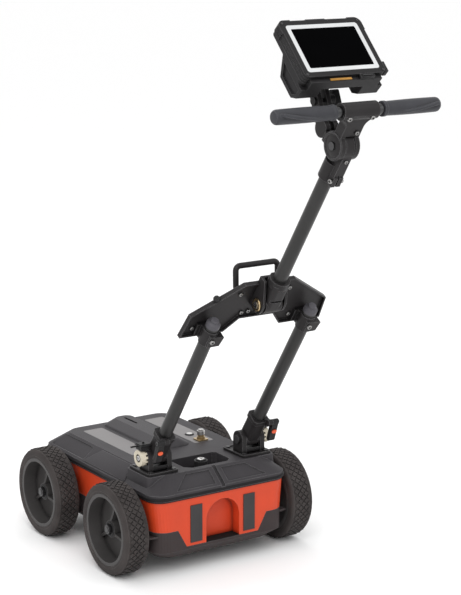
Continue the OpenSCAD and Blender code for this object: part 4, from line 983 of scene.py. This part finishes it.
@dataclass
class Wheels:
    """Tyres with a tread of small diamonds, and the seals round the hubs."""

    track: float = 429.0
    wheelbase: float = 303.5
    axle_z: float = 101.6
    hub_end: float = 13.3
    seal: Pairs = ((11.6, -0.2), (11.6, 1.2), (13.0, 2.0), (16.0, 2.0), (17.5, 1.0), (17.5, -0.2))
    tread_r: float = 99.2
    bands: tuple[float, ...] = (-23.4, -7.8, 7.8, 23.4)
    flank: Pairs = (
        (97.0, 26.4), (94.0, 27.9), (90.2, 28.3), (88.0, 28.3), (87.4, 28.2),
        (86.4, 28.5), (85.2, 28.5), (84.2, 27.7), (80.2, 27.5), (79.2, 26.7),
    )
    pitches: int = 40
    groove: float = 1.6
    lug_h: float = 2.3
    crown_slack: float = 1.5
    quad_bend: float = 60.0
    quad_skew: float = 70.0

    def build(self) -> None:
        """Makes a tyre and a hub seal for each wheel."""
        tyre = self.tyre()
        seal = Bench.turn("hub_seal", self.seal, ring=True)
        for corner in Corner:
            name, side, end = corner.value
            body = f"wheel_{name}"
            point = (side * self.track / 2, end * self.wheelbase / 2, self.axle_z)
            place = seat(LAYOUT.body(), point, (side, 0, 0))
            tread = Bench.settle(Bench.again(tyre, f"tread_{name}"), place, body, Finishes.TYRE, "tyre")
            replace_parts(tread, f"tyre_{name}")
            ring = Bench.again(seal, f"hub_seal_{name}")
            place = shift(place, 0, 0, self.hub_end)
            Bench.settle(ring, place, body, Finishes.BLACK_PLASTIC, "black_plastic")
        for model in (tyre, seal):
            bpy.data.objects.remove(model)

    def tyre(self) -> Piece:
        """Makes one tyre round Z, with the squares of its crown turned into raised diamonds.

        Returns:
            The tyre.
        """
        crown = [(self.tread_r, height) for height in self.bands]
        far_flank = [(radius, -height) for radius, height in reversed(self.flank)]
        tyre = Bench.turn("tread", [*crown, *self.flank, *far_flank], self.pitches, ring=True)
        Bench.pick(tyre, self.on_crown)
        bpy.ops.mesh.poke()
        bpy.ops.mesh.tris_convert_to_quads(
            face_threshold=math.radians(self.quad_bend), shape_threshold=math.radians(self.quad_skew)
        )
        Bench.done()
        Bench.pick(tyre, lambda polygon: self.on_crown(polygon) and len(polygon.vertices) == 4)
        bpy.ops.mesh.inset(thickness=self.groove * MM, use_individual=True)
        Bench.raise_each(self.lug_h)
        Bench.done()
        return tyre

    def on_crown(self, polygon: bpy.types.MeshPolygon) -> bool:
        """Says whether a face of the tyre belongs to its crown."""
        across, out = abs(polygon.center.z), polygon.center.xy.length
        return across < self.bands[-1] * MM and out > (self.tread_r - self.crown_slack) * MM


@dataclass
class FoldJoints:
    """Boots, lock wheel screws and lever screws at the foot of the handle."""

    boot: Triple = (36.0, 36.0, 9.4)
    boot_step: tuple[float, float] = (4.0, -1.5)
    boot_round: float = 0.8
    boot_z: float = 225.2
    lock_out: float = 44.3
    recess: float = 4.0
    washer: Pairs = ((5.2, 0.0), (5.2, 1.2), (8.0, 1.2), (8.4, 0.0))
    washer_t: float = 1.2
    lock_head: tuple[float, float] = (6.0, 3.0)
    lever_head: tuple[float, float] = (4.4, 2.4)
    lever_at: Triple = (33.7, -26.0, 74.0)

    def build(self) -> None:
        """Makes a boot, a washer, a lock screw and a lever screw on each side."""
        for side, name in SIDES:
            out = (side, 0, 0)
            middle = (0, 0, self.boot[2] / 2)
            boot = Tile(f"{name}_boot", self.boot, middle, UP, (self.boot_step,), self.boot_round).make()
            place = seat(LAYOUT.body(), (side * LAYOUT.post_x, LAYOUT.fold_y, self.boot_z), UP)
            Bench.settle(boot, place, "chassis", Finishes.BLACK_PLASTIC, "black_plastic")
            face = LAYOUT.post_x + self.lock_out - self.recess
            washer = Bench.turn(f"{name}_lock_washer", self.washer, ring=True)
            place = seat(LAYOUT.handle(), (side * face, 0, 0), out)
            Bench.settle(washer, place, f"{name}_lock", Finishes.STEEL, "steel")
            screw = Screw(f"{name}_lock_screw", *self.lock_head).make()
            place = seat(LAYOUT.handle(), (side * (face + self.washer_t), 0, 0), out)
            Bench.settle(screw, place, f"{name}_lock", Finishes.STEEL, "steel")
            pin = Screw(f"{name}_lever_screw", *self.lever_head).make()
            x, y, z = self.lever_at
            place = seat(LAYOUT.handle(), (side * (LAYOUT.post_x + x), y, z), out)
            Bench.settle(pin, place, "handle_frame", Finishes.BLACK_STEEL, "black_steel")


@dataclass
class Yoke:
    """Collars and plugs of the posts, and the folded plate's screws, rubber stop, rings and grab bar."""

    web: float = 25.0
    collar: Pairs = ((16.0, 355.0), (16.6, 355.6), (16.6, 393.4), (16.0, 394.0))
    collar_round: float = 0.8
    bore_r: float = 14.6
    bore_past: float = 10.0
    bore_sides: int = 48
    saddles: tuple[Triple, ...] = ((24.0, 21.0, 32.0), (41.6, 7.0, 32.0))
    saddle_s: float = 372.0
    lug: Pairs = ((-9.0, 357.0), (21.0, 358.0), (25.5, 382.0), (-9.0, 387.0))
    lug_t: float = 17.0
    plug: Pairs = (
        (14.5, 400.0), (15.0, 400.6), (15.0, 408.6), (14.0, 410.8),
        (9.4, 413.4), (8.8, 414.0), (8.4, 418.6), (7.4, 419.6),
    )
    clamp_screw: Screw = Screw("clamp_screw", 5.5, 4.5)
    clamp_at: Triple = (-2.0, -19.0, 374.0)
    web_screw: Screw = Screw("web_screw", 4.6, 4.0)
    web_spots: Pairs = ((61.0, 458.0), (150.0, 376.0), (90.0, 376.0))
    foot_spots: Pairs = ((-23.0, 404.0), (-39.0, 402.0))
    stop: Pairs = ((7.5, -0.5), (7.5, 5.0), (6.6, 8.0), (4.5, 9.6))
    stop_at: Triple = (-116.0, 23.0, 451.5)
    stop_axis: Triple = (-0.558, 0.0, 0.83)
    stop_sides: int = 24
    ring: Pairs = ((7.7, 0.0), (7.7, 2.4), (8.6, 3.0), (12.4, 3.0), (13.6, 1.8), (13.6, 0.0))
    clevis_out: float = 29.4
    grab: tuple[Triple, ...] = ((-52.0, 28.0, 446.0), (-52.0, 53.0, 446.0), (-52.0, 79.0, 483.0))
    grab_r: float = 6.2
    grab_bend: float = 10.0
    grab_pad: Pairs = ((10.0, 0.0), (10.0, 3.2), (9.2, 4.0))
    pad_sides: int = 32

    def build(self) -> None:
        """Makes the pieces of the yoke."""
        self.posts()
        self.screws()
        self.hinge()
        self.grab_bar()

    def posts(self) -> None:
        """Puts a collar and a plug on each post."""
        places = [shift(LAYOUT.handle(), side * LAYOUT.post_x, 0, 0) for side, _ in SIDES]
        collars = Bench.row(self.clamp(), places, "handle_frame", Finishes.BLACK_METAL, "black_metal")
        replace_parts(collars[0], "post_clamps")
        Bench.row(Bench.turn("post_plug", self.plug), places, "handle_frame", Finishes.PLUG, "black_plastic")

    def clamp(self) -> Piece:
        """Makes the collar round a post, with its saddle on the web and its pinch lug.

        Returns:
            The collar, with the post's axis on Z.
        """
        collar = Bench.turn("post_collar", self.collar)
        for size in self.saddles:
            saddle = Bench.block("saddle", size, (0, self.web - size[1] / 2, self.saddle_s))
            Bench.combine(collar, saddle, Work.JOIN)
        lug = Bench.sheet("lug", self.lug, self.lug_t)
        Bench.stand(lug, self.clamp_at[1] + self.lug_t)
        Bench.combine(collar, lug, Work.JOIN)
        (_, low), (_, top) = self.collar[0], self.collar[-1]
        length = top - low + 2 * self.bore_past
        bore = Bench.drum("bore", self.bore_r, length, low - self.bore_past, self.bore_sides)
        Bench.combine(collar, bore, Work.CUT)
        Bench.round_edges(collar, self.collar_round)
        return collar

    def screws(self) -> None:
        """Makes the screws of the collars and of the web."""
        x, y, z = self.clamp_at
        spots = [(side * LAYOUT.post_x + x, y, z) for side, _ in SIDES]
        heads = self.clamp_screw.fit([seat(LAYOUT.handle(), spot, REAR) for spot in spots], "handle_frame")
        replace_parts(heads[0], "clamp_bolts")
        pairs = [(side * x, z) for side, _ in SIDES for x, z in self.web_spots]
        spots = [(x, self.web, z) for x, z in [*pairs, *self.foot_spots]]
        self.web_screw.fit([seat(LAYOUT.handle(), spot, REAR) for spot in spots], "handle_frame")

    def hinge(self) -> None:
        """Makes the rubber stop and the brass rings of the mast's hinge."""
        place = seat(LAYOUT.handle(), self.stop_at, self.stop_axis)
        stop = Bench.turn("yoke_stop", self.stop, self.stop_sides)
        Bench.settle(stop, place, "handle_frame", Finishes.CASE, "black_plastic")
        ring = Bench.turn("pivot_ring", self.ring, ring=True)
        spots = [(side, (side * self.clevis_out, 0, LAYOUT.hinge_s)) for side, _ in SIDES]
        places = [seat(LAYOUT.handle(), spot, (side, 0, 0)) for side, spot in spots]
        Bench.row(ring, places, "handle_frame", Finishes.BRASS, "brass")

    def grab_bar(self) -> None:
        """Makes the bent grab bar and the pads at its feet."""
        path = [*self.grab, *((-x, y, z) for x, y, z in reversed(self.grab))]
        grab = Bench.rod("grab_bar", self.grab_r, path, self.grab_bend)
        Bench.settle(grab, LAYOUT.handle(), "handle_frame", Finishes.BLACK_METAL, "black_metal")
        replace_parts(grab, "grab_handle")
        places = [seat(LAYOUT.handle(), path[end], FORWARD) for end in (0, -1)]
        pad = Bench.turn("grab_pad", self.grab_pad, self.pad_sides)
        Bench.row(pad, places, "handle_frame", Finishes.BLACK_METAL, "black_metal")


@dataclass
class TiltJoint:
    """Disc faces, knuckle and screws of the joint under the handlebar."""

    disc: Pairs = (
        (8.6, -0.2), (8.6, 1.0), (20.0, 1.0), (21.0, 0.4),
        (24.0, 0.4), (25.0, 1.4), (27.0, 1.4), (28.0, -0.2),
    )
    disc_out: float = 21.4
    knuckle: Pairs = ((19.0, -10.4), (27.8, -10.4), (28.7, -9.4), (28.7, 9.4), (27.8, 10.4), (19.0, 10.4))
    sides: int = 64
    bar_screw: Screw = Screw("bar_screw", 5.0, 5.0)
    bar_at: Triple = (27.0, -14.5, 952.0)
    stem_screw: Screw = Screw("stem_screw", 4.5, 4.0)
    stem_at: Triple = (10.0, -11.0, 912.0)
    strap_screw: Screw = Screw("strap_screw", 4.0, 3.0)
    strap_at: Triple = (0.0, -28.0, 854.0)
    ear_screw: Screw = Screw("ear_screw", 5.0, 4.5)
    ear_at: Triple = (11.0, -24.8, 803.0)
    nut_r: float = 5.6
    nut_h: float = 4.5
    nut_sides: int = 6
    nut_rim: float = 1.8
    nut_end: float = 1.4
    nut_round: float = 0.3

    def build(self) -> None:
        """Makes the discs' faces, the knuckle, the screws and the ear's nut."""
        handle = LAYOUT.handle()
        disc = Bench.turn("disc_face", self.disc, self.sides, ring=True)
        places = [seat(handle, (side * self.disc_out, 0, LAYOUT.tilt_s), (side, 0, 0)) for side, _ in SIDES]
        Bench.row(disc, places, "bar", Finishes.BLACK_METAL, "black_metal")
        knuckle = Bench.turn("knuckle_ring", self.knuckle, self.sides, ring=True)
        place = seat(handle, (0, 0, LAYOUT.tilt_s), RIGHT)
        Bench.settle(knuckle, place, "mast", Finishes.BLACK_METAL, "black_metal")
        x, y, z = self.bar_at
        self.bar_screw.fit([seat(handle, (side * x, y, z), REAR) for side, _ in SIDES], "bar")
        self.stem_screw.fit([seat(handle, self.stem_at, REAR)], "bar")
        self.strap_screw.fit([seat(handle, self.strap_at, REAR)], "mast")
        x, y, z = self.ear_at
        self.ear_screw.fit([seat(handle, (-x, y, z), (-1, 0, 0))], "mast")
        nut = Bench.drum("ear_nut", self.nut_r, self.nut_h, sides=self.nut_sides)
        Bench.pick(nut, facing(UP))
        Bench.inset(self.nut_rim)
        Bench.push(0, 0, self.nut_end)
        Bench.round_edges(nut, self.nut_round)
        Bench.settle(nut, seat(handle, self.ear_at, RIGHT), "mast", Finishes.SCREW, "steel")


@dataclass
class Grips:
    """Rubber grips with a collar and a palm rest that twists round towards the end."""

    inner: float = 55.0
    collar: Pairs = ((13.2, 0.0), (15.2, 1.2), (15.2, 7.0), (13.9, 8.6))
    dome: Pairs = ((14.4, 131.0), (13.6, 134.6), (11.6, 137.2), (9.0, 138.0))
    body_r: float = 14.6
    rings: int = 16
    rest: Pairs = ((6.0, 20.0), (14.0, 20.0), (22.5, 126.0), (6.0, 136.0))
    rest_t: float = 7.0
    rest_round: float = 0.35
    rest_cuts: int = 8
    rest_low: float = 62.0
    twist: float = 72.0
    twist_span: tuple[float, float] = (0.15, 1.0)

    def build(self) -> None:
        """Makes both grips in place of the plain ones."""
        for side, name in SIDES:
            grip = self.grip(f"{name}_hand_grip", -side * self.twist)
            out = Vector((side, 0, 0))
            rest = Matrix.Rotation(math.radians(self.rest_low - LAYOUT.lean), 4, "X") @ Vector(REAR)
            turn = Matrix((rest, out.cross(rest), out)).transposed().to_4x4()
            place = shift(LAYOUT.handle(), side * self.inner, 0, LAYOUT.bar_s) @ turn
            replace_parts(Bench.settle(grip, place, "bar", Finishes.GRIP, "grip"), f"{name}_grip")

    def grip(self, name: str, twist: float) -> Piece:
        """Makes one grip along Z, with its palm rest starting on X.

        Args:
            name: The piece's name.
            twist: How far the palm rest turns, in degrees.

        Returns:
            The grip.
        """
        (neck_r, start), (dome_r, end) = self.collar[-1], self.dome[0]
        outline = list(self.collar)
        for step in range(1, self.rings):
            share = step / self.rings
            swell = (self.body_r - neck_r) * math.sin(math.pi * share)
            outline.append((neck_r + swell + (dome_r - neck_r) * share, start + (end - start) * share))
        grip = Bench.turn(name, [*outline, *self.dome])
        rest = Bench.sheet("palm", self.rest, self.rest_t)
        Bench.stand(rest, self.rest_t / 2)
        Bench.round_edges(rest, self.rest_round * self.rest_t, segments=3)
        Bench.edit("FACE")
        bpy.ops.mesh.subdivide(number_cuts=self.rest_cuts)
        Bench.done()
        Bench.combine(grip, rest, Work.JOIN)
        screw = grip.modifiers.new("twist", "SIMPLE_DEFORM")
        screw.deform_method = "TWIST"
        screw.deform_axis = "Z"
        screw.limits = self.twist_span
        screw.angle = math.radians(twist)
        bpy.ops.object.modifier_apply(modifier=screw.name)
        return grip


@dataclass
class TabletTrim:
    """Corner screws, amber strip, latch, catch and claw of the tablet."""

    screw: Screw = Screw("case_screw", 2.6, 1.4)
    screw_at: tuple[float, float] = (89.0, 61.0)
    strip: Tile = Tile("amber_strip", (50.0, 5.0, 1.6), (-13.0, -71.5, -6.4), UP, ((0.8, -0.4),), 0.3)
    holders: tuple[Tile, ...] = (
        Tile("shelf_latch", (34.0, 9.0, 8.0), (46.0, -71.0, -3.5), UP, ((2.0, -1.0), (4.0, 1.6)), 0.6),
        Tile("top_catch", (46.0, 6.0, 11.0), (-6.0, 68.0, -8.0), FORWARD, ((2.5, -1.0),), 0.6),
        Tile("side_claw", (9.0, 24.0, 15.0), (97.5, -52.0, -9.0), RIGHT, ((3.0, 1.5),), 1.0),
    )

    def build(self) -> None:
        """Makes the pieces of the tablet."""
        tablet = LAYOUT.tablet()
        x, y = self.screw_at
        places = [seat(tablet, (i * x, j * y, 0), UP) for i in (-1, 1) for j in (-1, 1)]
        Bench.row(self.screw.make(), places, "tablet", Finishes.BLACK_STEEL, "black_plastic")
        Bench.settle(self.strip.make(), tablet, "tablet", Finishes.AMBER, "orange_tab")
        for holder in self.holders:
            Bench.settle(holder.make(), tablet, "tablet", Finishes.BLACK_PLASTIC, "black_plastic")


@dataclass(frozen=True)
class Lamp:
    """A soft square lamp, in metres and watts."""

    name: str
    place: Triple
    size: float
    power: float


@dataclass
class Studio:
    """Floor, lights, world and camera."""

    eye: Vector = field(default_factory=lambda: mm(-2105.7, -3437.6 + LAYOUT.frame_y, 1454.8))
    aim: Vector = field(default_factory=lambda: mm(0, -277.98 + LAYOUT.frame_y, 608.42))
    lens: float = 111.58
    sensor: float = 36.0
    view_end: float = 400.0
    floor_size: float = 160.0
    floor_colour: Colour = (0.98, 0.98, 0.98)
    floor_roughness: float = 0.9
    sky: float = 0.6
    sky_seen: float = 1.0
    sun_power: float = 1.45
    sun_spread: float = 80.0
    sun_turn: Triple = (24.0, -16.0, 0.0)
    lamp_aim: Triple = (0.0, 0.0, 0.5)
    lamps: tuple[Lamp, ...] = (
        Lamp("key", (-2.2, -2.4, 3.2), 2.2, 40.0),
        Lamp("fill", (2.6, -2.0, 2.2), 2.4, 12.0),
        Lamp("back", (0.4, 2.8, 3.0), 2.4, 26.0),
    )

    def build(self) -> None:
        """Makes the whole studio."""
        self.floor()
        self.world()
        self.lights()
        self.camera()
        bpy.context.scene.view_settings.view_transform = "Standard"

    def floor(self) -> None:
        """Adds the pale floor."""
        Bench.clear()
        bpy.ops.mesh.primitive_plane_add(size=self.floor_size)
        floor = Bench.take("floor")
        material = bpy.data.materials.new("floor_pale")
        material.use_nodes = True
        tree = material.node_tree
        levels = {"Base Color": (*self.floor_colour, 1), "Roughness": self.floor_roughness}
        feed(tree, tree.nodes["Principled BSDF"], levels, {})
        floor.data.materials.append(material)

    def world(self) -> None:
        """Lights the scene evenly and shows white to camera, glossy and transmission rays."""
        world = bpy.data.worlds.new("studio")
        bpy.context.scene.world = world
        world.use_nodes = True
        tree = world.node_tree
        path = add_node(tree, "LightPath")
        seen = path.outputs["Is Camera Ray"]
        for kind in ("Is Glossy Ray", "Is Transmission Ray"):
            either = add_node(tree, "Math", links={0: seen, 1: path.outputs[kind]}, operation="MAXIMUM")
            seen = either.outputs["Value"]
        strength = add_node(tree, "MapRange", {"To Min": self.sky, "To Max": self.sky_seen}, {"Value": seen})
        white = {"Color": (1, 1, 1, 1)}
        feed(tree, tree.nodes["Background"], white, {"Strength": strength.outputs["Result"]})

    @staticmethod
    def place(name: str, data: bpy.types.ID) -> Piece:
        """Puts a light or a camera into the scene.

        Args:
            name: The object's name.
            data: The light or the camera.

        Returns:
            The object.
        """
        holder = bpy.data.objects.new(name, data)
        bpy.context.scene.collection.objects.link(holder)
        return holder

    def lights(self) -> None:
        """Adds a broad sun from above and three soft lamps."""
        sun = bpy.data.lights.new("sun", "SUN")
        sun.energy = self.sun_power
        sun.angle = math.radians(self.sun_spread)
        self.place("sun", sun).rotation_euler = [math.radians(turn) for turn in self.sun_turn]
        for lamp in self.lamps:
            light = bpy.data.lights.new(lamp.name, "AREA")
            light.size = lamp.size
            light.energy = lamp.power
            holder = self.place(lamp.name, light)
            holder.location = lamp.place
            way = Vector(self.lamp_aim) - Vector(lamp.place)
            holder.rotation_euler = way.to_track_quat("-Z", "Y").to_euler()

    def camera(self) -> None:
        """Adds the camera at the photograph's place."""
        data = bpy.data.cameras.new("camera")
        data.lens = self.lens
        data.sensor_width = self.sensor
        data.clip_end = self.view_end
        camera = self.place("camera", data)
        camera.location = self.eye
        camera.rotation_euler = (self.aim - self.eye).to_track_quat("-Z", "Y").to_euler()
        bpy.context.scene.camera = camera


def main() -> None:
    """Builds the looks in order."""
    logging.basicConfig(level=logging.INFO, format="%(name)s %(message)s")
    dress_nodes()
    assemblies = (RadarBody(), Wheels(), FoldJoints(), Yoke(), TiltJoint(), Grips(), TabletTrim(), Studio())
    for assembly in assemblies:
        assembly.build()


if __name__ == "__main__":
    main()
